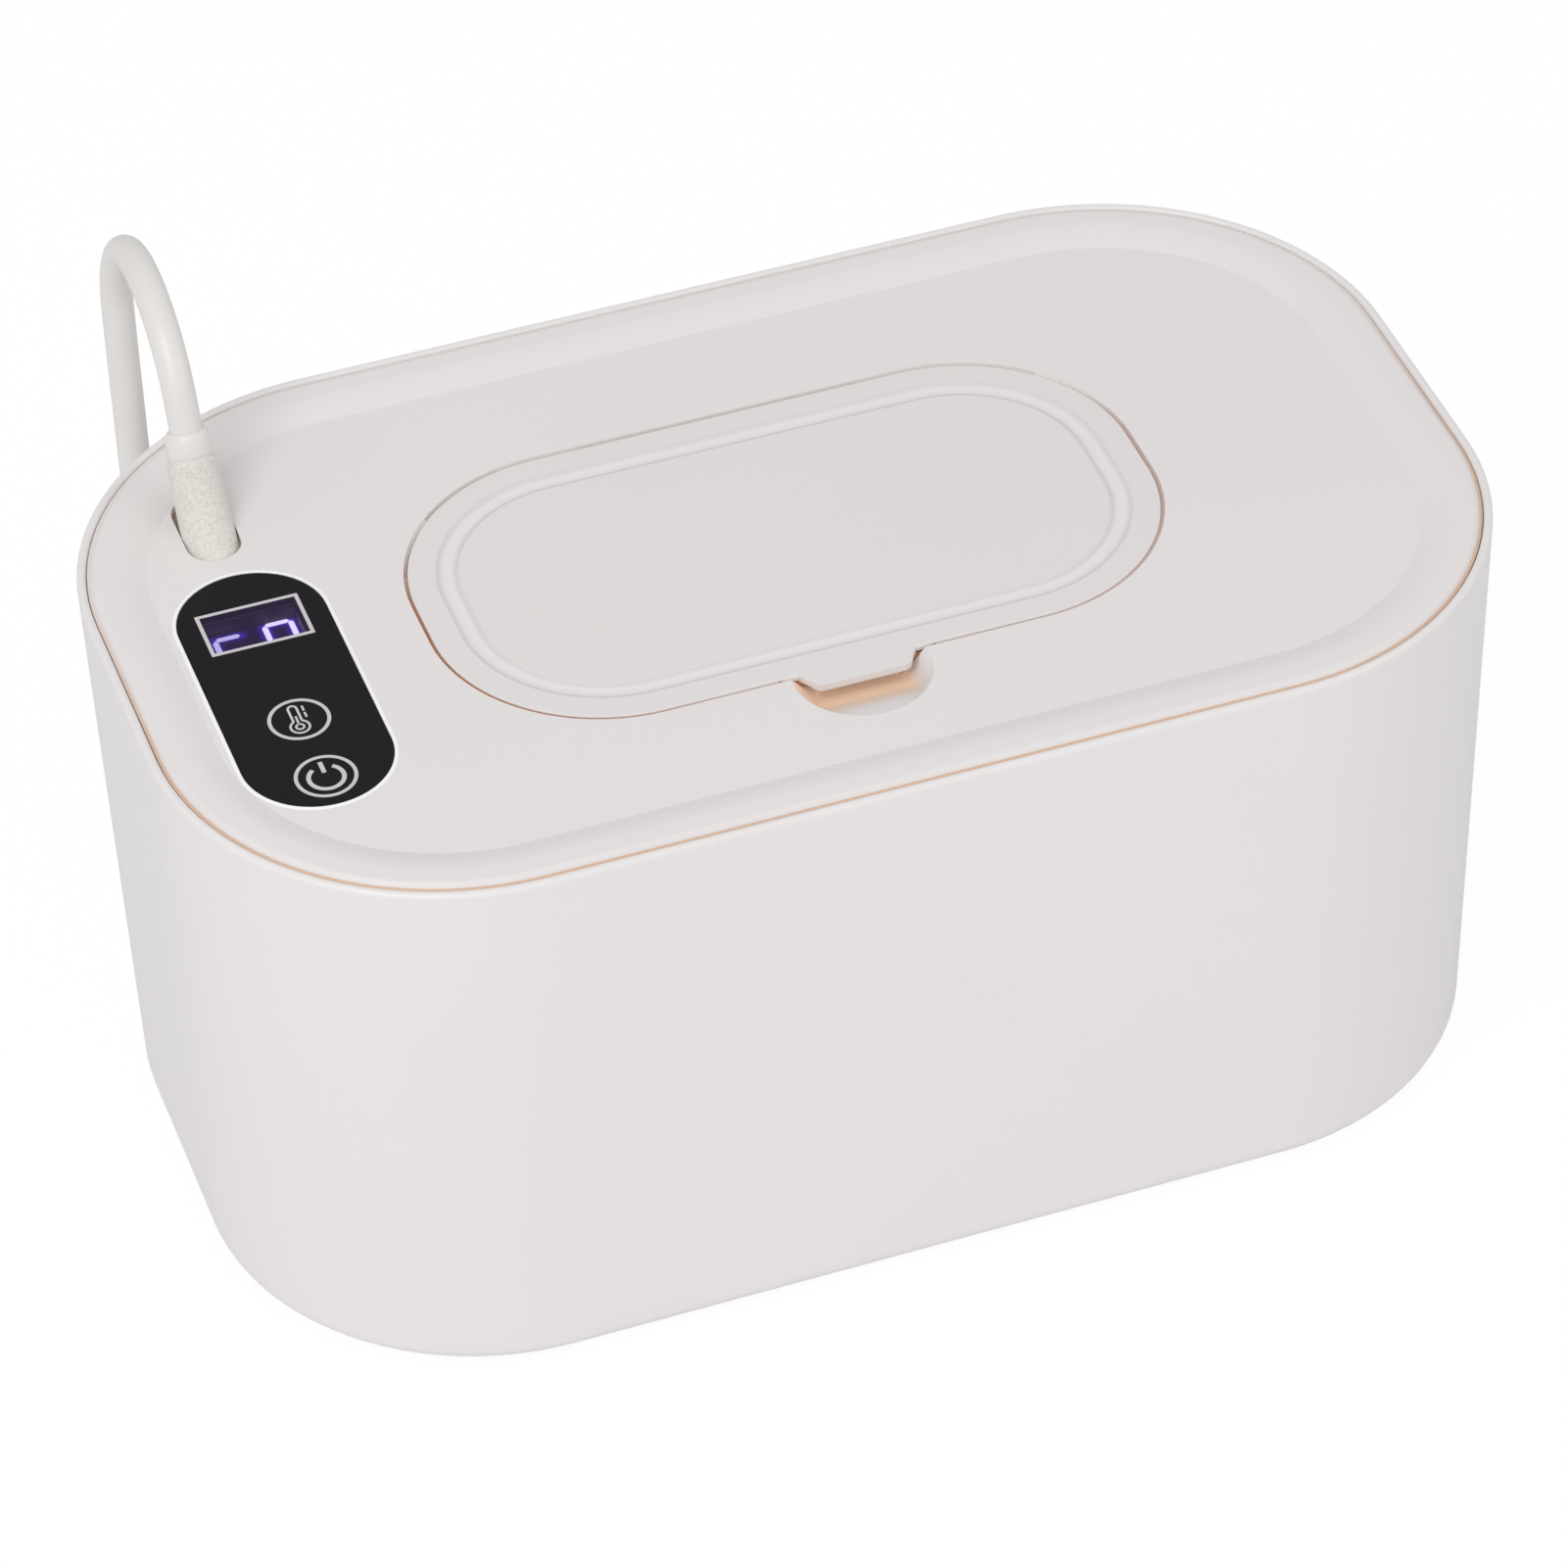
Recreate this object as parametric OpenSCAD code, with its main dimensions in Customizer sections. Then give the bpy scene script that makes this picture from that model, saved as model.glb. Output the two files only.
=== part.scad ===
// Baby wipe warmer: a double-walled tub under a lift-off lid that heats, shows and keeps the
// temperature, with a hinged flap over the wipe outlet. Millimetres, +Z up, +X along the long side,
// +Y to the back. The origin lies on the standing surface, under the middle of the tub.

/* [Tub] */
// Length of the tub at its rim
tub_w = 220; // [205:1:240]
// Depth of the tub at its rim, front to back
tub_d = 133.4; // [128:0.2:150]
// Height of the tub from its base to its rim
tub_h = 101.8; // [85:0.2:120]
// Radius of the tub's corners at the rim
corner_r = 49; // [44:0.5:54]
// How far each wall leans in from the rim down to the base
draft = 2.25; // [0.5:0.25:4]
// Wall of the outer shell
shell_wall = 2.4; // [1.8:0.1:3]
// Floor of the outer shell
shell_floor = 2.4; // [1.8:0.1:3]
// Radius along the bottom edge
base_edge_r = 3; // [1:0.5:4]
// Thickness of the thin lip round the lid
lip_t = 1.5; // [1.2:0.1:2]
// Wall of the inner liner
liner_wall = 1.6; // [1.2:0.1:2.2]
// Air gap between the shell and the liner
air_gap = 3.1; // [2:0.1:4]
// Height of the liner's underside above the base
liner_lift = 11; // [9:0.5:16]
// Depth of the ledge that carries the lid, below the rim
seat_depth = 9; // [8:0.5:12]

/* [Feet] */
// Diameter of a rubber foot
foot_d = 14; // [10:0.5:18]
// Thickness of a rubber foot
foot_t = 2; // [1.5:0.1:3]
// How far a foot stands out below the base
foot_proud = 1; // [0.6:0.1:1.4]
// Distance between the feet, left to right
foot_span_x = 150; // [120:1:160]
// Distance between the feet, front to back
foot_span_y = 76; // [60:1:84]

/* [Lid] */
// Gap between the lid and the lip round it
lid_gap = 0.5; // [0.3:0.1:0.8]
// Wall of the lid's cover
lid_wall = 1.8; // [1.4:0.1:2.2]
// Height of the lid's crest above the rim
crest_rise = 0.3; // [0:0.1:1]
// Distance from the rim's outside to the inner edge of the crest
crest_in = 5.2; // [4.2:0.1:6]
// Distance from the rim's outside to the flat of the panel
slope_in = 11.2; // [8:0.1:13]
// Depth of the lid's flat panel below the rim
panel_drop = 1.3; // [0.8:0.1:2]
// Thickness of the lid's panel
plate_t = 2.2; // [1.8:0.1:2.6]
// Thickness of the gasket under the lid
gasket_t = 1; // [0.6:0.1:1.6]
// Depth of the inner cover's underside below the rim
lid_depth = 20; // [19.8:0.2:24]
// Thickness of the inner cover
inner_t = 2; // [1.4:0.1:2]
// Clearance between the inner cover's skirt and the liner
skirt_gap = 0.8; // [0.5:0.1:1.2]

/* [Flap] */
// Distance of the flap's ends from the rim
flap_in_x = 49.8; // [48:0.1:56]
// Distance of the flap's front and rear edges from the rim
flap_in_y = 33.2; // [31.8:0.1:34.6]
// Length of the straight part of the flap's ends
flap_flat = 9.4; // [6:0.1:16]
// Gap round the flap
flap_gap = 0.55; // [0.5:0.05:0.9]
// Distance from the flap's edge to the middle of its groove
groove_in = 6.4; // [5:0.1:8]
// Width of the groove
groove_w = 3.6; // [2:0.1:4]
// Depth of the groove
groove_depth = 0.5; // [0.3:0.05:0.9]
// Width of the finger tab at its tip
tab_w = 16.8; // [12:0.1:18]
// How far the finger tab stands out from the flap
tab_out = 3.6; // [3:0.1:5.5]
// Thickness of the finger tab
tab_t = 1.1; // [0.9:0.1:1.8]
// Radius of the finger notch
notch_r = 11.2; // [11:0.1:13]
// Depth of the finger notch at the flap
notch_depth = 4.6; // [3:0.1:5]
// Distance of the hinge axis behind the flap's rear edge
hinge_back = 7.5; // [7.2:0.1:8.5]
// Depth of the hinge axis below the flap's top
hinge_drop = 3.8; // [3.6:0.1:3.9]
// Diameter of the hinge pin
pin_d = 2; // [1.6:0.1:2.2]

/* [Outlet] */
// Distance of the wipe outlet's ends from the flap's ends
outlet_in_x = 10.2; // [9.8:0.1:18]
// Distance of the outlet's front and rear edges from the flap's
outlet_in_y = 10.5; // [10.2:0.1:15]
// Length of the straight part of the outlet's ends
outlet_flat = 6; // [6:0.5:20]
// Wall of the flap's tray
tray_wall = 1.6; // [1.2:0.1:1.8]
// Depth of the tray's floor below the rim
tray_depth = 11; // [10:0.5:12]
// Width of the flap's seal
seal_w = 2.6; // [2:0.1:3]

/* [Controls] */
// Width of the control panel
panel_w = 23.8; // [21:0.1:25]
// Length of the control panel
panel_l = 58.8; // [54:0.2:60]
// Thickness of the control panel
panel_t = 1.5; // [1.2:0.1:1.8]
// Distance of the panel's middle from the rim's left end
panel_in = 24.9; // [24.5:0.1:27]
// Distance of the display window's middle from the panel's rear end
window_in = 13; // [12:0.1:13.6]
// Distance of the front touch key from the panel's front end
touch_in = 6.75; // [6.5:0.05:7.5]
// Distance between the touch keys
touch_pitch = 14.45; // [12:0.05:14.5]
// Length of the display window
window_w = 16.8; // [15.5:0.1:18]
// Depth of the display window, front to back
window_d = 10.4; // [9.8:0.1:11]
// Distance from the panel's surface down to the display's digits
digit_depth = 4; // [3.6:0.1:4.4]
// Thickness of the circuit board
board_t = 1.6; // [1:0.2:1.6]

/* [Cord] */
// Diameter of the cord
cord_d = 5.4; // [4.6:0.1:5.8]
// Diameter of the strain relief
boot_d = 8.1; // [7.6:0.1:8.4]
// Width of the cord slot
slot_w = 8.9; // [8.7:0.1:9.6]
// Length of the cord slot
slot_l = 17.5; // [16:0.5:19]

/* [Heater] */
// Thickness of the insulating pad
pad_t = 1.5; // [1:0.1:2]
// Thickness of the heating film
film_t = 0.4; // [0.3:0.1:0.6]
// Thickness of the heater plate
plate_alu_t = 1; // [0.8:0.1:1.5]

/* [Hidden] */
$fn = 64;

// Small amounts
eps = 0.01;
fit = 0.15;

// Where the middles of the tub's corners stand, left and right
cx = tub_w / 2 - corner_r;

// Heights
z_base = foot_proud;
z_rim = z_base + tub_h;
z_ledge = z_rim - seat_depth;
z_flange = z_ledge + gasket_t;
z_panel = z_rim - panel_drop;
z_plate = z_panel - plate_t;
z_inner = z_rim - lid_depth;
z_inner_top = z_inner + inner_t;
z_pad = z_inner - pad_t;
z_film = z_pad - film_t;
z_heater = z_film - plate_alu_t;
z_skirt = z_heater - 1.9;
z_tray = z_rim - tray_depth;

// Insets from the rim's outline
liner_out = shell_wall + air_gap;
liner_in = liner_out + liner_wall;
liner_flange_t = 1.8;
liner_floor_t = 1.8;
cover_flange_t = 1.8;
lid_out = lip_t + lid_gap;
lid_in = lid_out + lid_wall;
skirt_out = liner_in + skirt_gap;
skirt_in = skirt_out + lid_wall;
stack_gap = 0.7;
stack_in = skirt_in + stack_gap;

// Screw places
liner_bosses = [for (x = [-1, 1], y = [-1, 1]) [x * foot_span_x / 2, y * foot_span_y / 2]];
corner_post = [11, 18.7];
middle_post_in = 14.2;
lid_bosses = concat(
    [for (x = [-1, 1], y = [-1, 1]) [x * (cx + corner_post[0]), y * (tub_d / 2 - corner_post[1])]],
    [for (y = [-1, 1]) [0, y * (tub_d / 2 - middle_post_in)]]);
screw_hole = 3.4;
pilot_d = 2.5;
core_d = 2.4;
head_d = 5.6;
head_t = 1.6;
screw_bite = 8;
foot_boss_d = 11;
foot_boss_h = 5.5;
foot_screw_lift = 3.5;
liner_post_d = 7.5;
lid_post_d = 6.5;
rib_t = 1.6;
sunk = 0.5;

// Flap, tray and hinge
flap_w = tub_w - 2 * flap_in_x;
flap_d = tub_d - 2 * flap_in_y;
flap_r = (flap_d - flap_flat) / 2;
outlet_w = flap_w - 2 * outlet_in_x;
outlet_d = flap_d - 2 * outlet_in_y;
outlet_r = (outlet_d - outlet_flat) / 2;
open_w = flap_w + 2 * flap_gap;
open_d = flap_d + 2 * flap_gap;
open_r = flap_r + flap_gap;
flap_t = plate_t;
edge_t = 0.9;
lip_under = 1.2;
axis_y = flap_d / 2 + hinge_back;
axis_z = z_panel - hinge_drop;
lip_reach = norm([hinge_back - flap_gap, hinge_drop]);
arm_r0 = lip_reach + 0.38;
arm_t = 2.2;
arm_r1 = arm_r0 + arm_t;
arm_w = 5;
arm_x = 19;
arm_gap = 0.4;
knuckle_r = hinge_drop - lip_under - arm_gap;
bay_x = 27;
bay_front = axis_y - arm_r1 - arm_gap - 0.3;
bay_back = axis_y + 4.6;
bay_z = axis_z - arm_r1 - arm_gap;
bay_floor = 1.4;
pin_end = 2.6;
cheek_d = 5.2;
cheek_w = 4.4;
tray_in = 1.5;
chimney_gap = 0.6;
chimney_seal_t = 1.2;
seat_drop = 6.4;
seat_z = z_rim - seat_drop;
ear_d = 7;
ear_l = 11;
ear_drop = 5;
ear_reach = 3;
ear_y = 20;
ear_z = z_plate - ear_drop;
ear_t = 2;
ear_post_d = 6;
ear_bite = 4.4;
tray_ears = [for (x = [-1, 1], y = [-1, 1])
    [x * (open_w / 2 + tray_in + tray_wall + ear_reach), y * ear_y]];
ear_screw = [2, 4.6, 1.4];

// Finger notch
notch_y = -(flap_d / 2 + 2);
notch_front = -notch_y + notch_r;
notch_lip = 0.4;
notch_flare = 0.9;
notch_floor_t = 1.4;
notch_tongue = 3.5;
notch_slope = atan((notch_depth - notch_lip) / (notch_front - open_d / 2));
notch_boss_z = z_panel - notch_depth - notch_floor_t;

// Controls
panel_x = -tub_w / 2 + panel_in;
panel_y = -7;
window_y = panel_y + panel_l / 2 - window_in;
touch_front = panel_y - panel_l / 2 + touch_in;
touch_y = [touch_front + touch_pitch, touch_front];
touch_hole_d = 9;
tape_t = 0.2;
pocket_z = z_panel - panel_t - tape_t;
pocket_floor = 1.5;
display_x = panel_x + 0.9;
display_w = 15;
display_d = 11;
display_h = 7.1;
digits_z = z_panel - digit_depth;
board_z = digits_z - display_h;
board_x = panel_x + 1.1;
board_w = 21;
board_front = panel_y - panel_l / 2 + 0.4;
board_back = window_y + display_d / 2 + 0.4;
board_under = board_z - board_t;
board_post_d = 4.6;
board_screw = [1.6, 4, 1.3];
board_screw_bite = 3.6;
board_hole_x = 8.4;
board_hole_y = [(touch_y[0] + touch_y[1]) / 2, window_y - 12];
board_holes = [for (x = [-1, 1], y = board_hole_y) [board_x + x * board_hole_x, y]];
relay = [12, 7.6, 6.2];
chip = [6, 5, 1.4];
fuse_d = 3.2;
fuse_l = 9;

// Heater's leads, sensor and thermal fuse
heater_lead_y = board_hole_y[0] - 4.6;
sensor_lead_y = board_hole_y[0] + 3.4;
heater_lead_d = 1.5;
sensor_lead_d = 0.8;
lead_x = [panel_x + 7.2, panel_x + 9.8];
sensor_x = [panel_x - 8.6, panel_x - 7.1];
sensor_mid = (sensor_x[0] + sensor_x[1]) / 2;
sensor_d = 2.8;
sensor_h = 1.4;
fuse_at = [panel_x + 14, panel_y + 4];
thermal_fuse_d = 3.4;
thermal_fuse_l = 11;

// Strain relief: a straight tail held in the lid, then a sleeve that curls up round boot_c
slot_side = 0.4;
slot_x = panel_x - slot_side;
slot_gap = 4.6;
slot_front = panel_y + panel_l / 2 + slot_gap;
trough_depth = 12.2;
boot_bend = 30.5;
boot_start = 26;
boot_end = 68;
boot_up = 21.2;
boot_back = 14.1;
boot_c = [slot_front - boot_back, z_panel + boot_up];
collar_d = 6.7;
neck_d = 6.1;
neck_l = 1.4;
collar_l = 5.2;
boot_tail = 8;
tail_d = boot_d - 0.2;
flange_d = 11;
flange_t = 2;
clamp_t = 1.6;
clamp_x = 7.7;
clamp_w = 7;
clamp_post_d = 3.8;
clamp_screw = [1.8, 3.2, 1.2];
clamp_screw_bite = 6;
lead_d = 1.6;
lead_l = 3.8;

// A point on the strain relief's centre line at an angle above level, and the way it heads there
function boot_at(a) = [slot_x, boot_c[0] + boot_bend * sin(a), boot_c[1] - boot_bend * cos(a)];
function heading(a) = [0, cos(a), sin(a)];

// Coil: two layers of three turns, spiralling in on top and out again along the floor
tie_t = 0.6;
tie_gap = 0.15;
tie_w = 8;
tie_r = 2.5;
coil_c = [-20, 120.4];
coil_mid_d = 64;
coil_turns = 6;
coil_pitch = 5.9;
coil_z = cord_d / 2 + tie_gap + tie_t + 0.05;
coil_half = coil_turns / 2 * 360;
coil_step = 15;
coil_tail = 48;

function smooth(s) = s <= 0 ? 0 : s >= 1 ? 1 : s * s * (3 - 2 * s);
function coil_r(a) = coil_mid_d / 2 + coil_pitch * (abs(a - coil_half) - coil_half / 2) / 360;
function coil_at(a) = [coil_c[0] + coil_r(a) * cos(a - 90), coil_c[1] + coil_r(a) * sin(a - 90),
    coil_z + coil_pitch * (1 - smooth((a - coil_half + 90) / 180))];
function tail_at(x) = coil_at(2 * coil_half) + [x, 0, coil_pitch * smooth((x - 18) / 24)];
coil_start = coil_at(0) - [cord_d, 0, 0];
coil_end = tail_at(coil_tail);
coil_path = concat([coil_start], [for (a = [0 : coil_step : 2 * coil_half]) coil_at(a)],
    [for (x = [6 : 6 : coil_tail]) tail_at(x)]);

// Route of the free cord: out of the strain relief, over the rim and down to the coil
cord_exit = boot_at(boot_end) + collar_l * heading(boot_end);
route = concat(
    [cord_exit, cord_exit + 1.5 * heading(boot_end)],
    [[-85.5, 47, 124], [-85.5, 51.5, 128.5], [-85.5, 57.5, 131.5], [-85.5, 64, 132.5],
    [-85.5, 71, 131.3], [-85.5, 77.5, 127.5], [-85.5, 82.5, 121.5], [-85.5, 85.4, 114],
    [-85.5, 86, 104], [-85.5, 86, 92], [-85.5, 86, 80], [-85.5, 86, 68], [-85.5, 86, 56],
    [-85.5, 86, 44], [-85.5, 86, 33], [-84.5, 86, 24], [-81, 86, 16], [-75.5, 85.7, 9.6],
    [-68, 84.8, 6], [-59, 83.2, 5], [-49, 81, 6.6], [-39.5, 79.9, 8.8]],
    [coil_start - [cord_d, 0, 0], coil_start]);

// Plug: it lies on its broad side beyond the coil
relief_l = 18;
relief_d = 9.2;
plug_r = 4;
plug_l = 24;
plug_w = 25;
plug_h = 2 * coil_end[2] - 0.1;
pin_l = 17.5;
pin_w = 6.3;
pin_t = 1.5;
pin_gap = 12.7;

// Length of a line through points, and the least distance between turns of the coil
function length_of(p, i = 1) = i >= len(p) ? 0 : norm(p[i] - p[i - 1]) + length_of(p, i + 1);
coil_gaps = [for (i = [0 : len(coil_path) - 14]) for (j = [i + 12 : min(i + 60, len(coil_path) - 1)])
    norm(coil_path[i] - coil_path[j]) - cord_d];
echo(coil_least_gap = min(coil_gaps));
echo(cord_length = length_of(route) + length_of(coil_path));

// Rounded rectangle, flat and as a slab
module outline(w, d, r) {
    square([w - 2 * r, d], center = true);
    square([w, d - 2 * r], center = true);
    for (x = [-1, 1], y = [-1, 1])
        translate([x * (w / 2 - r), y * (d / 2 - r)]) circle(r);
}
module slab(w, d, r, z0, z1) {
    translate([0, 0, z0]) linear_extrude(z1 - z0) outline(w, d, r);
}
// Slab that follows the tub's outline, and one that follows the outlet's
module inset_slab(inset, z0, z1) {
    slab(tub_w - 2 * inset, tub_d - 2 * inset, corner_r - inset, z0, z1);
}
module outlet_slab(grow, z0, z1) {
    slab(outlet_w + 2 * grow, outlet_d + 2 * grow, outlet_r + grow, z0, z1);
}
// Sweeps a 2D profile round a rounded rectangle, with x outwards from its outline and y up
module sweep(w, d, r) {
    for (s = [0, 1]) rotate(180 * s) {
        translate([w / 2 - r, d / 2 - r, 0]) rotate_extrude(angle = 90) translate([r, 0]) children();
        translate([r - w / 2, d / 2 - r, 0]) rotate(90)
            rotate_extrude(angle = 90) translate([r, 0]) children();
        if (d > 2 * r) translate([w / 2 - r, d / 2 - r, 0]) rotate([90, 0, 0])
            linear_extrude(d - 2 * r) translate([r, 0]) children();
        translate([r - w / 2, d / 2 - r, 0]) rotate(90) rotate([90, 0, 0])
            linear_extrude(w - 2 * r) translate([r, 0]) children();
    }
}
module rim_sweep(points) {
    sweep(tub_w, tub_d, corner_r) polygon([for (p = points) [-p[0], p[1]]]);
}
module loop(w, d, r, t, z0, z1) {
    difference() {
        slab(w + 2 * t, d + 2 * t, r + t, z0, z1);
        slab(w, d, r, z0 - 1, z1 + 1);
    }
}
module post(p, d, z0, z1) {
    translate([p[0], p[1], z0]) cylinder(d = d, h = z1 - z0, $fn = 32);
}
// A screw with a flat round head below and its tip above
module screw(p, z0, length, shank, head, t) {
    post(p, head, z0 - t, z0);
    post(p, shank, z0 - eps, z0 + length);
}
// Slab seen from above as a stadium that runs front to back
module stadium(x, y, w, l, z0, z1) {
    translate([x, y, 0]) slab(w, l, w / 2 - eps, z0, z1);
}

// Tube along points: rings stand across the line, and both ends are closed
function along(p, i) = let (d = p[min(i + 1, len(p) - 1)] - p[max(i - 1, 0)]) d / norm(d);
function side_of(d) = let (s = abs(d[0]) > 0.9 ? cross([0, 1, 0], d) : cross([1, 0, 0], d)) s / norm(s);
function carried(p, i) = i == 0 ? side_of(along(p, 0))
    : let (d = along(p, i), s = carried(p, i - 1), f = s - (s * d) * d) f / norm(f);
module tube(p, d, sides, normals) {
    n = len(p);
    rings = [for (i = [0 : n - 1]) let (a = along(p, i), u = normals[i], v = cross(a, u))
        for (k = [0 : sides - 1]) p[i] + d / 2 * (cos(360 * k / sides) * u + sin(360 * k / sides) * v)];
    walls = [for (i = [0 : n - 2], k = [0 : sides - 1]) let (a = i * sides, b = a + sides,
        m = (k + 1) % sides) for (f = [[a + k, b + k, b + m], [a + k, b + m, a + m]]) f];
    ends = [for (k = [1 : sides - 2]) for (f = [[0, k, k + 1],
        [(n - 1) * sides, (n - 1) * sides + k + 1, (n - 1) * sides + k]]) f];
    polyhedron(rings, concat(walls, ends));
}

module tub_shell() {
    step_z = z_ledge - liner_flange_t;
    lip_r = lip_t / 2;
    floor_in = draft + base_edge_r + 4;
    color("whitesmoke") difference() {
        union() {
            rim_sweep(concat(
                [for (a = [90 : -15 : 0]) [draft + base_edge_r * (1 - cos(a)),
                    z_base + base_edge_r * (1 - sin(a))]],
                [for (a = [0 : 30 : 180]) [lip_r - lip_r * cos(a), z_rim - lip_r + lip_r * sin(a)]],
                [[lip_t, step_z], [shell_wall, step_z],
                [draft + shell_wall, z_base + shell_floor], [floor_in, z_base + shell_floor],
                [floor_in, z_base]]));
            inset_slab(floor_in - 3, z_base, z_base + shell_floor);
            for (p = liner_bosses) post(p, foot_boss_d, z_base + eps, z_base + foot_boss_h);
        }
        for (p = liner_bosses) {
            post(p, foot_d + 2 * fit, z_base - 1, z_base + foot_t - foot_proud);
            post(p, head_d + 4 * fit, z_base, z_base + foot_screw_lift);
            post(p, screw_hole, z_base, z_base + foot_boss_h + 0.5);
        }
    }
}
module tub_liner() {
    slope = draft / tub_h;
    lean = slope * (z_ledge - z_base - liner_lift);
    floor_z = z_base + liner_lift;
    floor_top = floor_z + liner_floor_t;
    color("white") difference() {
        union() {
            rim_sweep([[lip_t + 0.2, z_ledge], [liner_in, z_ledge], [liner_in + lean, floor_top],
                [liner_in + lean + 6, floor_top], [liner_in + lean + 6, floor_z],
                [liner_out + lean, floor_z], [liner_out, z_ledge - liner_flange_t],
                [lip_t + 0.2, z_ledge - liner_flange_t]]);
            inset_slab(liner_in + lean + 2, floor_z, floor_top);
            for (p = liner_bosses) post(p, liner_post_d, z_base + foot_boss_h, floor_z + eps);
        }
        for (p = liner_bosses) post(p, pilot_d, z_base + foot_boss_h - 0.5, floor_z - 0.4);
    }
}
module liner_screws() {
    color("silver") for (p = liner_bosses)
        screw(p, z_base + foot_screw_lift, liner_lift - foot_screw_lift - 0.9, core_d, head_d, head_t);
}
module foot_pads() {
    color("dimgray") for (p = liner_bosses)
        post(p, foot_d, z_base - foot_proud, z_base + foot_t - foot_proud);
}

// Rounded crest of the lid and its slope, which is steepest at its foot, from outside to inside
crest_r = 1.3;
function lid_edge() = concat(
    [for (a = [180 : -15 : 90])
        [lid_out + crest_r * (1 + cos(a)), z_rim + crest_rise - crest_r * (1 - sin(a))]],
    [for (i = [0 : 10]) [crest_in + (slope_in - crest_in) * i / 10,
        z_rim + crest_rise - (crest_rise + panel_drop) * (1 - cos(9 * i))]]);

// The notch's boss, which reaches under the flap's edge, and its flared hollow with a sloping floor
module notch_boss() {
    intersection() {
        translate([0, notch_y, notch_boss_z]) cylinder(r = notch_r + rib_t, h = z_panel - notch_boss_z);
        translate([-2 * notch_r, -flap_d / 2 - 2 * notch_r, notch_boss_z])
            cube([4 * notch_r, 2 * notch_r + notch_tongue, z_panel - notch_boss_z]);
    }
}
module notch_cut() {
    depth = notch_depth + 0.4;
    intersection() {
        translate([0, notch_y, z_panel - depth])
            cylinder(r1 = notch_r - notch_flare * depth, r2 = notch_r + notch_flare * depth, h = 2 * depth);
        translate([0, -notch_front, z_panel - notch_lip]) rotate([-notch_slope, 0, 0])
            translate([-2 * notch_r, -1, 0]) cube([4 * notch_r, 4 * notch_r, 3 * notch_r]);
    }
}
module slot_slab(grow, z0, z1) {
    stadium(slot_x, slot_front + slot_l / 2, slot_w + 2 * grow, slot_l + 2 * grow, z0, z1);
}
module lid_top_cover() {
    trough_z = z_panel - trough_depth;
    color("whitesmoke") difference() {
        union() {
            rim_sweep(concat([[lid_out, z_flange]], lid_edge(),
                [[slope_in + 3, z_panel], [slope_in + 3, z_plate], [slope_in, z_plate],
                [crest_in + 0.6, z_rim - 2.2], [lid_in, z_rim - 2], [lid_in, z_flange]]));
            inset_slab(slope_in + 1, z_plate, z_panel);
            stadium(panel_x, panel_y, panel_w + 2 * rib_t, panel_l + 2 * rib_t,
                pocket_z - pocket_floor, z_panel);
            notch_boss();
            slot_slab(rib_t, trough_z, z_panel - sunk);
            boot_tail_frame() {
                cylinder(d = slot_w + 2 * rib_t, h = boot_tail - flange_t);
                translate([-clamp_x, -rib_t * 0.75, 0])
                    cube([2 * clamp_x, rib_t * 1.5, boot_tail - flange_t]);
                for (x = [-1, 1]) translate([x * clamp_x, 0, 0])
                    cylinder(d = clamp_post_d, h = boot_tail, $fn = 24);
            }
            for (p = lid_bosses) post(p, lid_post_d, z_inner_top, z_panel - sunk);
            for (p = tray_ears) post(p, ear_post_d, ear_z, z_panel - sunk);
            for (p = board_holes) post(p, board_post_d, board_z, z_panel - sunk);
        }
        slab(open_w, open_d, open_r, z_panel - notch_depth, z_rim + 5);
        translate([-bay_x - 4.8, 0, z_plate - 1])
            cube([2 * bay_x + 9.6, bay_back + 0.3, 1 + plate_t - lip_under]);
        notch_cut();
        stadium(panel_x, panel_y, panel_w + 2 * fit, panel_l + 2 * fit, pocket_z, z_rim);
        window_block(-0.4, pocket_z - 5, pocket_z + 5);
        for (y = touch_y) post([panel_x, y], touch_hole_d, pocket_z - 5, pocket_z + 1);
        slot_slab(0, trough_z + bay_floor, z_rim);
        boot_tail_frame() {
            translate([0, 0, -6]) cylinder(d = slot_w, h = 6 + boot_tail);
            for (x = [-1, 1]) translate([x * clamp_x, 0, boot_tail - clamp_screw_bite + 1])
                cylinder(d = clamp_screw[0] + 0.1, h = clamp_screw_bite, $fn = 24);
        }
        for (p = lid_bosses) post(p, pilot_d, z_inner_top - 1, z_inner_top + screw_bite + 1);
        for (p = tray_ears) post(p, ear_screw[0] + 0.1, ear_z - 1, ear_z + ear_bite + 0.6);
        for (p = board_holes) post(p, board_screw[0] + 0.1, board_z - 1, board_z + board_screw_bite + 0.4);
    }
}
module lid_inner_cover() {
    flange_z = z_flange + cover_flange_t;
    chimney_hole = tray_wall + chimney_gap;
    color("white") difference() {
        union() {
            rim_sweep([[lid_in + 0.2, z_flange], [lid_in + 0.2, flange_z], [skirt_in, flange_z],
                [skirt_in, z_inner_top], [skirt_in + 3, z_inner_top], [skirt_in + 3, z_inner],
                [skirt_in, z_inner], [skirt_in, z_skirt], [skirt_out, z_skirt], [skirt_out, z_flange]]);
            inset_slab(skirt_in + 1, z_inner, z_inner_top);
            outlet_slab(chimney_hole + rib_t, z_skirt, z_inner + eps);
        }
        outlet_slab(chimney_hole, z_skirt - 1, z_inner_top + 1);
        for (p = lid_bosses) post(p, screw_hole, z_inner - 1, z_inner_top + 1);
        lead_holes(z_inner - 1, z_inner_top + 1);
        fuse_pocket(z_inner - 1, z_inner_top + 1);
    }
}
module lid_gasket() {
    inside = liner_out + 0.2;
    color("lightgray") loop(tub_w - 2 * inside, tub_d - 2 * inside, corner_r - inside,
        liner_out - lid_out, z_ledge, z_flange);
}
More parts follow.
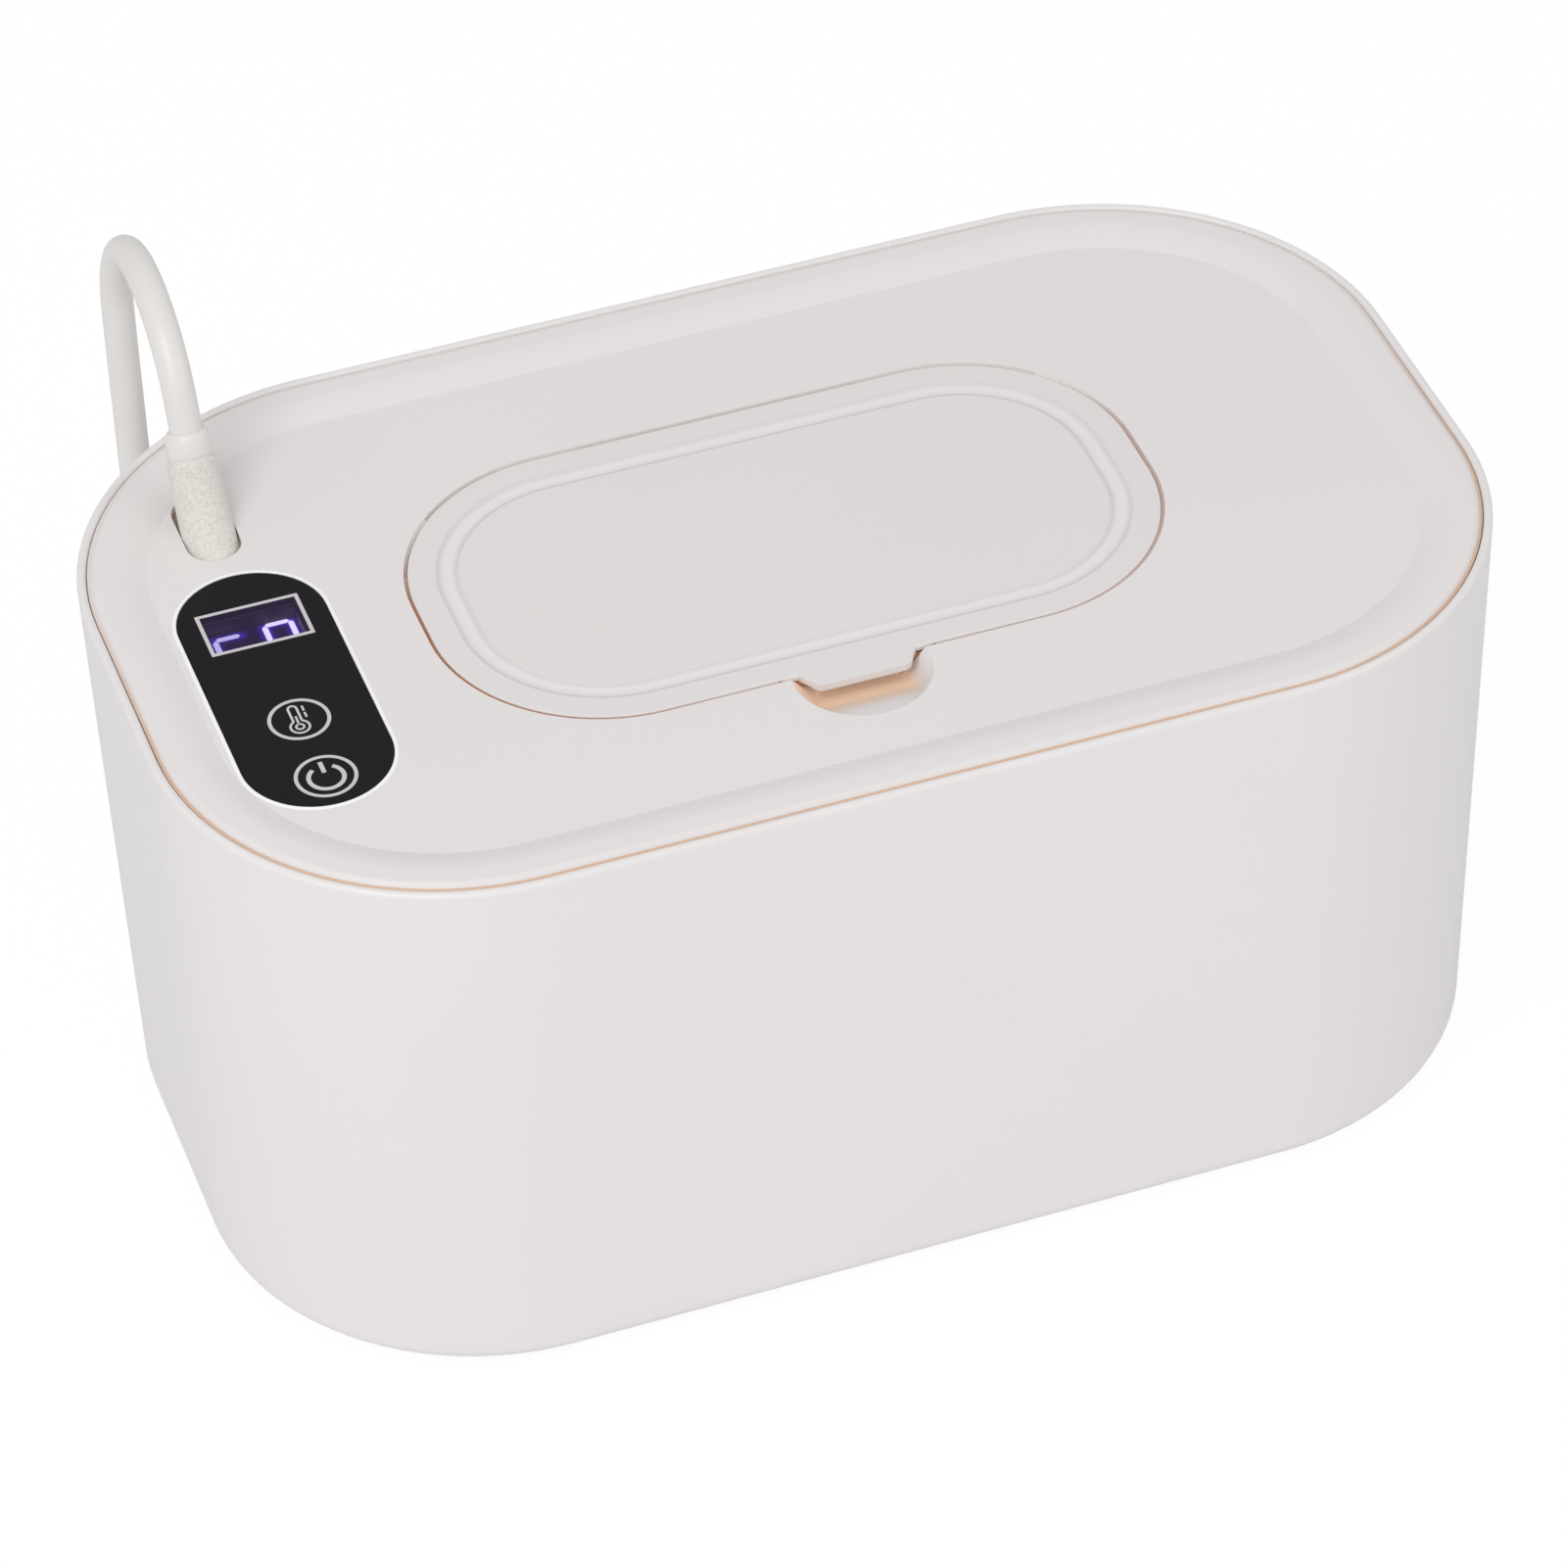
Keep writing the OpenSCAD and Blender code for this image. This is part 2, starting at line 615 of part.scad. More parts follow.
module lid_screws() {
    color("silver") for (p = lid_bosses)
        screw(p, z_heater, z_inner_top + screw_bite - z_heater, core_d, head_d, head_t);
}

module arm_shape() {
    spoke = 277;
    difference() {
        union() {
            intersection() {
                difference() {
                    circle(arm_r1);
                    circle(arm_r0);
                }
                polygon([[0, 0], [-20, 20 * tan(13)], [-20, -20], [20 * tan(16), -20]]);
            }
            rotate(spoke) translate([0, -1.2]) square([arm_r0 + 0.6, 2.4]);
            circle(knuckle_r);
        }
        circle(pin_d / 2 + 0.06);
    }
}
module flap() {
    groove_rr = (pow(groove_w / 2, 2) + pow(groove_depth, 2)) / (2 * groove_depth);
    bevel = flap_t - edge_t;
    under_z = z_panel - flap_t;
    fence_in = seal_w / 2 + 0.2;
    fence_h = 1.6;
    root_y = -flap_d / 2;
    root_x = tab_w / 2 + 1.3;
    tip_x = tab_w / 2;
    tab_r = 2;
    tab_y = root_y - tab_out;
    color("whitesmoke") difference() {
        union() {
            slab(flap_w - 4, flap_d - 4, flap_r - 2, z_panel - flap_t, z_panel);
            sweep(flap_w, flap_d, flap_r)
                polygon([[-4, z_panel], [-0.4, z_panel], [-0.12, z_panel - 0.12], [0, z_panel - 0.4],
                    [0, z_panel - edge_t], [-bevel, under_z], [-4, under_z]]);
            translate([0, 0, z_panel - tab_t]) linear_extrude(tab_t) {
                for (x = [-1, 1]) translate([x * (tip_x - tab_r), tab_y + tab_r]) circle(tab_r);
                for (x = [-1, 1]) polygon([[0, root_y + 3], [x * root_x, root_y + 3], [x * root_x, root_y],
                    [x * (tip_x - 0.04), tab_y + 1.6], [x * (tip_x - tab_r), tab_y], [0, tab_y]]);
            }
            for (x = [-1, 1]) translate([x * arm_x - arm_w / 2, axis_y, axis_z]) rotate([90, 0, 90])
                linear_extrude(arm_w) arm_shape();
            loop(outlet_w - 2 * fence_in, outlet_d - 2 * fence_in, outlet_r - fence_in, 1,
                under_z - fence_h, under_z + eps);
        }
        sweep(flap_w - 2 * groove_in, flap_d - 2 * groove_in, flap_r - groove_in)
            translate([0, z_panel + groove_rr - groove_depth]) circle(groove_rr);
    }
}
module hinge_pin() {
    color("silver") translate([-bay_x - pin_end, axis_y, axis_z]) rotate([0, 90, 0])
        cylinder(d = pin_d, h = 2 * (bay_x + pin_end));
}
module flap_seal() {
    grow = (tray_wall - seal_w) / 2 + 0.1;
    color("lightgray") loop(outlet_w + 2 * grow, outlet_d + 2 * grow, outlet_r + grow, seal_w - 0.1,
        seat_z, z_panel - flap_t);
}
module flap_tray() {
    in_w = open_w + 2 * tray_in;
    in_d = open_d + 2 * tray_in;
    in_r = open_r + tray_in;
    color("white") difference() {
        union() {
            slab(in_w + 2 * tray_wall, in_d + 2 * tray_wall, in_r + tray_wall, z_tray - tray_wall, z_plate);
            translate([-bay_x - tray_wall, bay_front - tray_wall, bay_z - bay_floor])
                cube([2 * (bay_x + tray_wall), bay_back - bay_front + 2 * tray_wall,
                    z_plate - bay_z + bay_floor]);
            for (x = [-1, 1]) translate([x * (bay_x + cheek_w / 2), axis_y, axis_z - arm_gap])
                rotate([0, 90, 0]) cylinder(d = cheek_d, h = cheek_w, center = true);
            for (p = tray_ears) {
                post(p, ear_d, ear_z - ear_t, ear_z);
                translate([p[0] > 0 ? p[0] - ear_l : p[0], p[1] - ear_d / 2, ear_z - ear_t])
                    cube([ear_l, ear_d, ear_t]);
            }
            outlet_slab(tray_wall, z_skirt, z_tray);
            outlet_slab(tray_wall + rib_t, z_inner_top + chimney_seal_t, z_inner_top + 2 * chimney_seal_t);
        }
        difference() {
            slab(in_w, in_d, in_r, z_tray, z_rim);
            outlet_slab(tray_wall, z_tray - 1, seat_z);
        }
        difference() {
            translate([-bay_x, bay_front, bay_z]) cube([2 * bay_x, bay_back - bay_front, z_rim - bay_z]);
            for (x = [-1, 1], s = [-1, 1])
                translate([x * arm_x + s * (arm_w / 2 + 1.6) - 1, axis_y - 2.6, bay_z - 1])
                    cube([2, 20, axis_z + 1.5 - bay_z + 1]);
        }
        outlet_slab(0, z_skirt - 1, z_rim);
        translate([-bay_x - pin_end - 0.1, axis_y, axis_z]) rotate([0, 90, 0])
            cylinder(d = pin_d + 0.1, h = 2 * (bay_x + pin_end + 0.1));
        translate([-notch_r - rib_t - 0.6, -open_d / 2 - 4, notch_boss_z - 0.3])
            cube([2 * (notch_r + rib_t + 0.6), 9, 20]);
        for (p = tray_ears) post(p, ear_screw[0] + 0.7, ear_z - ear_t - 1, ear_z + 1);
    }
}
module tray_screws() {
    color("silver") for (p = tray_ears)
        screw(p, ear_z - ear_t, ear_t + ear_bite, ear_screw[0], ear_screw[1], ear_screw[2]);
}
module outlet_seal() {
    grow = tray_wall + 0.05;
    color("lightgray") loop(outlet_w + 2 * grow, outlet_d + 2 * grow, outlet_r + grow, seal_w + 0.2,
        z_inner_top, z_inner_top + chimney_seal_t);
}

// Plan of the heater's layers, which lie round the outlet inside the skirt
module layer(z0, z1) {
    difference() {
        inset_slab(stack_in, z0, z1);
        outlet_slab(tray_wall + 2 * rib_t, z0 - 1, z1 + 1);
        for (p = lid_bosses) post(p, screw_hole, z0 - 1, z1 + 1);
    }
}
module lead_holes(z0, z1) {
    for (x = lead_x) post([x, heater_lead_y], 2 * heater_lead_d, z0, z1);
    for (x = sensor_x) post([x, sensor_lead_y], sensor_lead_d + 1.4, z0, z1);
}
module fuse_pocket(z0, z1) {
    w = thermal_fuse_d + 1.4;
    l = thermal_fuse_l + 3;
    translate([fuse_at[0] - w / 2, fuse_at[1] - l / 2, z0]) cube([w, l, z1 - z0]);
}
module heater_plate() {
    color("silver") layer(z_heater, z_film);
}
module heater_film() {
    color("orange") layer(z_film, z_pad);
}
module insulation_pad() {
    color("gainsboro") difference() {
        layer(z_pad, z_inner);
        lead_holes(z_pad - 1, z_inner + 1);
        fuse_pocket(z_pad - 1, z_inner + 1);
        post([sensor_mid, sensor_lead_y], sensor_d + 1.2, z_pad - 1, z_inner + 1);
    }
}
module thermal_fuse() {
    color("darkred") translate([fuse_at[0], fuse_at[1], z_pad + thermal_fuse_d / 2]) rotate([90, 0, 0])
        cylinder(d = thermal_fuse_d, h = thermal_fuse_l, center = true);
}
module temperature_sensor() {
    color("black") translate([sensor_mid, sensor_lead_y, z_pad]) cylinder(d = sensor_d, h = sensor_h);
}
module heater_leads() {
    color("red") for (x = lead_x) post([x, heater_lead_y], heater_lead_d, z_pad, board_under);
}
module sensor_leads() {
    color("blue") for (x = sensor_x)
        post([x, sensor_lead_y], sensor_lead_d, z_pad + sensor_h, board_under);
}

// Block with the display window's plan
module window_block(grow, z0, z1) {
    translate([panel_x - window_w / 2 - grow, window_y - window_d / 2 - grow, z0])
        cube([window_w + 2 * grow, window_d + 2 * grow, z1 - z0]);
}
module control_panel() {
    color("black") difference() {
        stadium(panel_x, panel_y, panel_w, panel_l, z_panel - panel_t, z_panel);
        window_block(0, z_panel - panel_t - 1, z_panel + 1);
    }
}
module display_window() {
    color("indigo") window_block(0, z_panel - panel_t, z_panel);
}
module panel_adhesive() {
    color("gray") difference() {
        stadium(panel_x, panel_y, panel_w - 1, panel_l - 1, pocket_z, pocket_z + tape_t);
        window_block(0, pocket_z - 1, pocket_z + 1);
        for (y = touch_y) post([panel_x, y], touch_hole_d, pocket_z - 1, pocket_z + 2);
    }
}
module display_module() {
    color("dimgray") translate([display_x - display_w / 2, window_y - display_d / 2, board_z])
        cube([display_w, display_d, display_h]);
}
module touch_springs() {
    color("silver") for (y = touch_y) difference() {
        post([panel_x, y], 7.6, board_z, z_panel - panel_t - 0.05);
        post([panel_x, y], 6.2, board_z - 1, z_rim);
    }
}
module control_board() {
    color("green") difference() {
        translate([board_x - board_w / 2, board_front, board_under])
            cube([board_w, board_back - board_front, board_t]);
        for (p = board_holes) post(p, board_screw[0] + 0.8, board_under - 1, board_z + 1);
    }
}
module board_screws() {
    color("silver") for (p = board_holes)
        screw(p, board_under, board_t + board_screw_bite, board_screw[0], board_screw[1], board_screw[2]);
}
module main_chip() {
    color("black") translate([board_x - 7, board_hole_y[0] + 3.8, board_under - chip[2]]) cube(chip);
}
module heater_relay() {
    color("royalblue") translate([board_x - relay[0] / 2, window_y - 15.8, board_z]) cube(relay);
}
module board_fuse() {
    color("tan") translate([board_x + 4, window_y - 3, board_under - fuse_d / 2]) rotate([90, 0, 0])
        cylinder(d = fuse_d, h = fuse_l, center = true);
}

// Places its children on the strain relief's line, ahead of an angle, or behind its start
module boot_frame(a) {
    translate(boot_at(a)) rotate([a - 90, 0, 0]) children();
}
module boot_tail_frame() {
    boot_frame(boot_start) mirror([0, 0, 1]) children();
}
module cord_boot() {
    color("white") {
        translate([slot_x, boot_c[0], boot_c[1]]) rotate([0, 90, 0]) rotate(boot_start)
            rotate_extrude(angle = boot_end - boot_start, $fn = 96)
                translate([boot_bend, 0]) circle(d = boot_d, $fn = 48);
        boot_frame(boot_end) rotate_extrude() polygon([[0, -1], [neck_d / 2, -1],
            [neck_d / 2, neck_l], [collar_d / 2, neck_l + 0.2], [collar_d / 2, collar_l - 0.4],
            [collar_d / 2 - 0.4, collar_l], [0, collar_l]]);
        boot_tail_frame() rotate_extrude() polygon([[0, -1], [tail_d / 2, -1],
            [tail_d / 2, boot_tail - flange_t], [flange_d / 2, boot_tail - flange_t],
            [flange_d / 2, boot_tail], [0, boot_tail]]);
    }
}
module boot_clamp() {
    l = 2 * clamp_x + 3.4;
    color("silver") boot_tail_frame() difference() {
        translate([-l / 2, -clamp_w / 2, boot_tail]) cube([l, clamp_w, clamp_t]);
        translate([0, 0, boot_tail - 1]) cylinder(d = 5, h = clamp_t + 2);
        for (x = [-1, 1]) translate([x * clamp_x, 0, boot_tail - 1])
            cylinder(d = clamp_screw[0] + 0.2, h = clamp_t + 2, $fn = 24);
    }
}
module clamp_screws() {
    color("gold") boot_tail_frame() for (x = [-1, 1])
        translate([x * clamp_x, 0, boot_tail + clamp_t]) {
            cylinder(d = clamp_screw[1], h = clamp_screw[2], $fn = 24);
            translate([0, 0, -clamp_screw_bite])
                cylinder(d = clamp_screw[0], h = clamp_screw_bite + 0.1, $fn = 24);
        }
}
module cord_leads() {
    color("red") boot_tail_frame() for (x = [-1, 1]) translate([x * 1.1, 0, boot_tail])
        cylinder(d = lead_d, h = lead_l, $fn = 24);
}

module cord() {
    color("white") tube(route, cord_d, 8, [for (i = [0 : len(route) - 1]) carried(route, i)]);
}
module cord_coil() {
    color("white") tube(coil_path, cord_d, 6, [for (i = coil_path) [0, 0, 1]]);
}
module cord_tie() {
    w = coil_pitch * 2 + cord_d + 0.8;
    h = coil_pitch + cord_d + 2 * tie_gap;
    color("black") translate([coil_c[0], coil_c[1] + coil_mid_d / 2, coil_z + coil_pitch / 2])
        rotate([0, 90, 0]) translate([0, 0, -tie_w / 2]) linear_extrude(tie_w) difference() {
            outline(h + 2 * tie_t, w + 2 * tie_t, tie_r + tie_t);
            outline(h, w, tie_r);
        }
}
module plug_frame() {
    translate(coil_end) rotate([0, 90, 0]) children();
}
module plug_body() {
    color("white") plug_frame() {
        rotate_extrude() polygon([[0, 0], [cord_d / 2 + 0.3, 0], [relief_d / 2, relief_l], [0, relief_l]]);
        translate([0, 0, relief_l]) linear_extrude(plug_l) outline(plug_h, plug_w, plug_r);
    }
}
module plug_pins() {
    color("silver") plug_frame() for (y = [-1, 1]) translate([-pin_w / 2, y * pin_gap / 2 - pin_t / 2, 0])
        translate([0, 0, relief_l + plug_l]) cube([pin_w, pin_t, pin_l]);
}

tub_shell();
tub_liner();
liner_screws();
foot_pads();
lid_top_cover();
lid_inner_cover();
lid_gasket();
lid_screws();
flap();
hinge_pin();
flap_seal();
flap_tray();
tray_screws();
outlet_seal();
heater_plate();
heater_film();
insulation_pad();
thermal_fuse();
temperature_sensor();
heater_leads();
sensor_leads();
control_panel();
display_window();
panel_adhesive();
display_module();
touch_springs();
control_board();
board_screws();
main_chip();
heater_relay();
board_fuse();
cord_boot();
boot_clamp();
clamp_screws();
cord_leads();
cord();
cord_coil();
cord_tie();
plug_body();
plug_pins();
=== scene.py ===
"""Looks of the wipe warmer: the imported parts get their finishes, and the cord, strain relief, plug,
printed signs, lit digits, screws, feet and small trim are modelled on them. Metres, +Z up."""
import math

import bmesh
import bpy
import numpy as np
from mathutils import Matrix, Vector


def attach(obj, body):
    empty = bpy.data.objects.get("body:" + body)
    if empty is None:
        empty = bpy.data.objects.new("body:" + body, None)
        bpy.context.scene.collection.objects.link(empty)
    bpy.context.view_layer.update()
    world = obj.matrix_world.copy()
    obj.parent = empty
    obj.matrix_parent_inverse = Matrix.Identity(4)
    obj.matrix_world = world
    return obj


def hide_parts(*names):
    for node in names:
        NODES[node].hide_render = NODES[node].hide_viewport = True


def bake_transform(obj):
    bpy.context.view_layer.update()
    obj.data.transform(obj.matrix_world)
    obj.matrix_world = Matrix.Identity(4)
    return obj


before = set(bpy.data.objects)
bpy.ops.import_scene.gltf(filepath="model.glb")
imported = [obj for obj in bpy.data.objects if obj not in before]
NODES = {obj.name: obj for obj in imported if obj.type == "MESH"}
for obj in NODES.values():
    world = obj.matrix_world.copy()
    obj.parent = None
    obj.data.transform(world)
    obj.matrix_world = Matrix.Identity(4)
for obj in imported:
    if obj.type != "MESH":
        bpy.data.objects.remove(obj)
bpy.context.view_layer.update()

MM = 0.001

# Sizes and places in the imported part, in millimetres: the tub's rim, the flap's opening, the centre of the
# flap's corner arcs, the touch panel with its window and keys, and the levels of digits and board
RIM_W, RIM_D, RIM_R = 220, 133.4, 49
OPENING_W, OPENING_D, OPENING_R = 121.5, 68.1, 29.35
FLAP_CENTRE = (31.4, 4.7)
PANEL_Z = 101.5
PANEL_X, PANEL_Y = -85.1, -7.0
PANEL_W, PANEL_L = 23.8, 58.8
WINDOW_W, WINDOW_D, WINDOW_Y = 16.8, 10.4, 9.4
TOUCH_Y = (-15.2, -29.65)
DIGITS_Z = 97.5
BOARD_Z = 90.4


# Meshes -----------------------------------------------------------------------------------------

def link(obj):
    bpy.context.scene.collection.objects.link(obj)
    return obj


def loft(loops, ring=False):
    """Points and faces that join loops of equally many points: capped, or joined end to end in a ring."""
    n, m = len(loops[0]), len(loops)
    verts = [tuple(p) for loop in loops for p in loop]
    faces = []
    for i in range(m if ring else m - 1):
        a, b = i * n, (i + 1) % m * n
        faces += [(a + k, a + (k + 1) % n, b + (k + 1) % n, b + k) for k in range(n)]
    if not ring:
        faces += [tuple(range(n)), tuple(range((m - 1) * n, m * n))]
    return verts, faces


def solid(name, shells, finish):
    """One object of closed shells in millimetres: doubles merged and normals out."""
    mesh = bpy.data.meshes.new(name)
    work = bmesh.new()
    for verts, faces in shells:
        made = [work.verts.new(tuple(float(c) * MM for c in v)) for v in verts]
        for face in faces:
            work.faces.new([made[i] for i in face])
    bmesh.ops.remove_doubles(work, verts=work.verts, dist=1e-7)
    bmesh.ops.recalc_face_normals(work, faces=work.faces)
    work.to_mesh(mesh)
    work.free()
    mesh.materials.append(finish)
    return link(shaded(bpy.data.objects.new(name, mesh)))


def shaded(obj):
    """Smooth faces, with the edges sharp past an angle."""
    obj.data.polygons.foreach_set("use_smooth", [True] * len(obj.data.polygons))
    obj.data.set_sharp_from_angle(angle=math.radians(35))
    return obj


def applied(obj):
    """Turns the evaluated object into a plain mesh of its own."""
    graph = bpy.context.evaluated_depsgraph_get()
    mesh = bpy.data.meshes.new_from_object(obj.evaluated_get(graph), depsgraph=graph)
    obj.modifiers.clear()
    obj.data = mesh
    return shaded(obj)


def ring_of(n):
    """Cosine and sine of n even steps round a circle."""
    return [(math.cos(2 * math.pi * k / n), math.sin(2 * math.pi * k / n)) for k in range(n)]


def circle(x, y, z, r, n):
    return [(x + r * c, y + r * s, z) for c, s in ring_of(n)]


def rounded(x, y, z, w, d, r, n=6):
    """A level rounded rectangle; r may be as much as half of its shorter side."""
    loop = []
    for q, (sx, sy) in enumerate(((1, 1), (-1, 1), (-1, -1), (1, -1))):
        for k in range(n + 1):
            a = math.pi / 2 * (q + k / n)
            loop.append((x + sx * (w / 2 - r) + r * math.cos(a), y + sy * (d / 2 - r) + r * math.sin(a), z))
    return loop


def turned(x, y, profile, n):
    """A shell turned about an upright axis from (radius, height) pairs."""
    return loft([circle(x, y, z, r, n) for r, z in profile])


def stroke(path, width, z, thick, closed=False):
    """A flat line of a width that follows (x, y) points, standing on a level."""
    p = np.array(path, float)
    ahead = np.roll(p, -1, 0) - np.roll(p, 1, 0) if closed else np.gradient(p, axis=0)
    ahead /= np.linalg.norm(ahead, axis=1)[:, None]
    off = np.stack([-ahead[:, 1], ahead[:, 0]], 1) * width / 2
    return loft([[(*(a + b), z), (*(a - b), z), (*(a - b), z + thick), (*(a + b), z + thick)]
                 for a, b in zip(p, off)], closed)


def arc(x, y, r, start, stop, n):
    """Points of a level arc; angles in degrees, from +X towards +Y."""
    return [(x + r * math.cos(math.radians(a)), y + r * math.sin(math.radians(a)))
            for a in np.linspace(start, stop, n)]


def spline(points, step):
    """Points a step apart on a smooth curve through the given ones."""
    p = [np.array(q, float) for q in points]
    p = [2 * p[0] - p[1]] + p + [2 * p[-1] - p[-2]]
    dense = []
    for a, b, c, d in zip(p, p[1:], p[2:], p[3:]):
        t0 = 0.0
        t1 = t0 + np.linalg.norm(b - a) ** 0.5
        t2 = t1 + np.linalg.norm(c - b) ** 0.5
        t3 = t2 + np.linalg.norm(d - c) ** 0.5
        for t in np.linspace(t1, t2, 24, endpoint=False):
            ab = (t1 - t) / (t1 - t0) * a + (t - t0) / (t1 - t0) * b
            bc = (t2 - t) / (t2 - t1) * b + (t - t1) / (t2 - t1) * c
            cd = (t3 - t) / (t3 - t2) * c + (t - t2) / (t3 - t2) * d
            abc = (t2 - t) / (t2 - t0) * ab + (t - t0) / (t2 - t0) * bc
            bcd = (t3 - t) / (t3 - t1) * bc + (t - t1) / (t3 - t1) * cd
            dense.append((t2 - t) / (t2 - t1) * abc + (t - t1) / (t2 - t1) * bcd)
    dense.append(p[-2])
    dense = np.array(dense)
    along = np.concatenate([[0], np.cumsum(np.linalg.norm(np.diff(dense, axis=0), axis=1))])
    at = np.linspace(0, along[-1], max(2, int(round(along[-1] / step)) + 1))
    return np.stack([np.interp(at, along, dense[:, i]) for i in range(3)], 1)


def tube(points, radii, sides):
    """A round closed shell through points."""
    points = np.array(points, float)
    tangent = np.gradient(points, axis=0)
    tangent /= np.linalg.norm(tangent, axis=1)[:, None]
    side = np.cross(tangent[0], (1, 0, 0) if abs(tangent[0][0]) < 0.9 else (0, 0, 1))
    loops = []
    for p, t, r in zip(points, tangent, radii):
        side = side - side.dot(t) * t
        side /= np.linalg.norm(side)
        other = np.cross(t, side)
        loops.append([p + r * (c * side + s * other) for c, s in ring_of(sides)])
    return loft(loops)


# Camera and cord's line -------------------------------------------------------------------------

# The photograph's camera: its place, sensor and lens in millimetres, its near limit in metres, and the
# directions of its view, right and down
CAMERA_AT, SENSOR, LENS, NEAR = (-272.957, -826.346, 798.901), 36, 161.04, 0.05
camera = link(bpy.data.objects.new("camera", bpy.data.cameras.new("camera")))
camera.data.sensor_width, camera.data.lens, camera.data.clip_start = SENSOR, LENS, NEAR
look, right, down = (Vector(v) for v in ((0.23630613, 0.71995758, -0.65254923),
                                        (0.94213932, -0.33409705, -0.02743457),
                                        (-0.2377665, -0.60830934, -0.75724952)))
turn = Matrix((right, -down, -look)).transposed().to_4x4()
camera.matrix_world = Matrix.Translation(Vector(CAMERA_AT) * MM) @ turn
bpy.context.scene.camera = camera

CORD_D = 5.4
# The coil: centre, mean radius, pitch between loops and layers, degrees in one layer, height of the lower one
COIL_C, COIL_MID, COIL_PITCH, COIL_HALF = (-20, 120.4), 32.0, 5.9, 1080
COIL_Z = CORD_D / 2 + 0.8
SLOT_X = PANEL_X - 0.4
# The strain relief: centre and radius of its bend, its angles above level, and its collar's length
BOOT_C, BOOT_BEND, BOOT_START, BOOT_END = (12.9, PANEL_Z + 21.2), 30.5, 26, 68
COLLAR = 5.2


def ease(s):
    """A soft step from 0 to 1."""
    s = min(1, max(0, s))
    return s * s * (3 - 2 * s)


def boot_at(angle, ahead=0.0):
    """A point on the strain relief's line at an angle above level, or a way straight on from it."""
    c, s = math.cos(math.radians(angle)), math.sin(math.radians(angle))
    return (SLOT_X, BOOT_C[0] + BOOT_BEND * s + ahead * c, BOOT_C[1] - BOOT_BEND * c + ahead * s)


def coil_at(a):
    """A point of the coil after some degrees: inwards on the upper layer, then outwards on the lower."""
    r = COIL_MID + COIL_PITCH * (abs(a - COIL_HALF) - COIL_HALF / 2) / 360
    t = math.radians(a - 90)
    return (COIL_C[0] + r * math.cos(t), COIL_C[1] + r * math.sin(t),
            COIL_Z + COIL_PITCH * (1 - ease((a - COIL_HALF + 90) / 180)))


def tail_at(x):
    """A point a way on from the coil's end, where the cord rises to the plug."""
    p = coil_at(2 * COIL_HALF)
    return (p[0] + x, p[1], p[2] + COIL_PITCH * ease((x - 18) / 24))


cord_exit = boot_at(BOOT_END, COLLAR)
coil_start = (coil_at(0)[0] - CORD_D, *coil_at(0)[1:])
route = [cord_exit, boot_at(BOOT_END, COLLAR + 1.5),
         (-85.5, 47, 124), (-85.5, 51.5, 128.5), (-85.5, 57.5, 131.5), (-85.5, 64, 132.5),
         (-85.5, 71, 131.3), (-85.5, 77.5, 127.5), (-85.5, 82.5, 121.5), (-85.5, 85.4, 114),
         (-85.5, 86, 104), (-85.5, 86, 92), (-85.5, 86, 80), (-85.5, 86, 68), (-85.5, 86, 56),
         (-85.5, 86, 44), (-85.5, 86, 33), (-84.5, 86, 24), (-81, 86, 16), (-75.5, 85.7, 9.6),
         (-68, 84.8, 6), (-59, 83.2, 5), (-49, 81, 6.6), (-39.5, 79.9, 8.8),
         (coil_start[0] - CORD_D, *coil_start[1:]), coil_start]
coil = [coil_at(a) for a in range(0, 2 * COIL_HALF + 1, 15)] + [tail_at(x) for x in range(6, 49, 6)]
cord_line = spline(route + coil, 1.8)
coil_end = tail_at(48)


# Finishes ---------------------------------------------------------------------------------------

def linear(code):
    """An sRGB hex value as the linear colour that a socket takes."""
    parts = [int(code[i:i + 2], 16) / 255 for i in (0, 2, 4)]
    return tuple(c / 12.92 if c <= 0.04045 else ((c + 0.055) / 1.055) ** 2.4 for c in parts) + (1.0,)


def add(tree, kind, inputs=None, **settings):
    """Adds a node, sets its fields, and sets or links its inputs."""
    made = tree.nodes.new(kind)
    for name, value in settings.items():
        setattr(made, name, value)
    for name, value in (inputs or {}).items():
        if isinstance(value, bpy.types.NodeSocket):
            tree.links.new(value, made.inputs[name])
        else:
            made.inputs[name].default_value = value
    return made


def maths(tree, a, b, operation="MULTIPLY"):
    return add(tree, "ShaderNodeMath", {0: a, 1: b}, operation=operation).outputs[0]


def mix(tree, share, first, second):
    """A colour between two."""
    return add(tree, "ShaderNodeMix", {0: share, 6: first, 7: second}, data_type="RGBA").outputs[2]


def object_place(tree):
    return add(tree, "ShaderNodeTexCoord").outputs["Object"]


def surface(tree, shader):
    add(tree, "ShaderNodeOutputMaterial", {"Surface": shader.outputs[0]})


def material(name):
    made = bpy.data.materials.new(name)
    made.use_nodes = True
    made.node_tree.nodes.clear()
    return made, made.node_tree


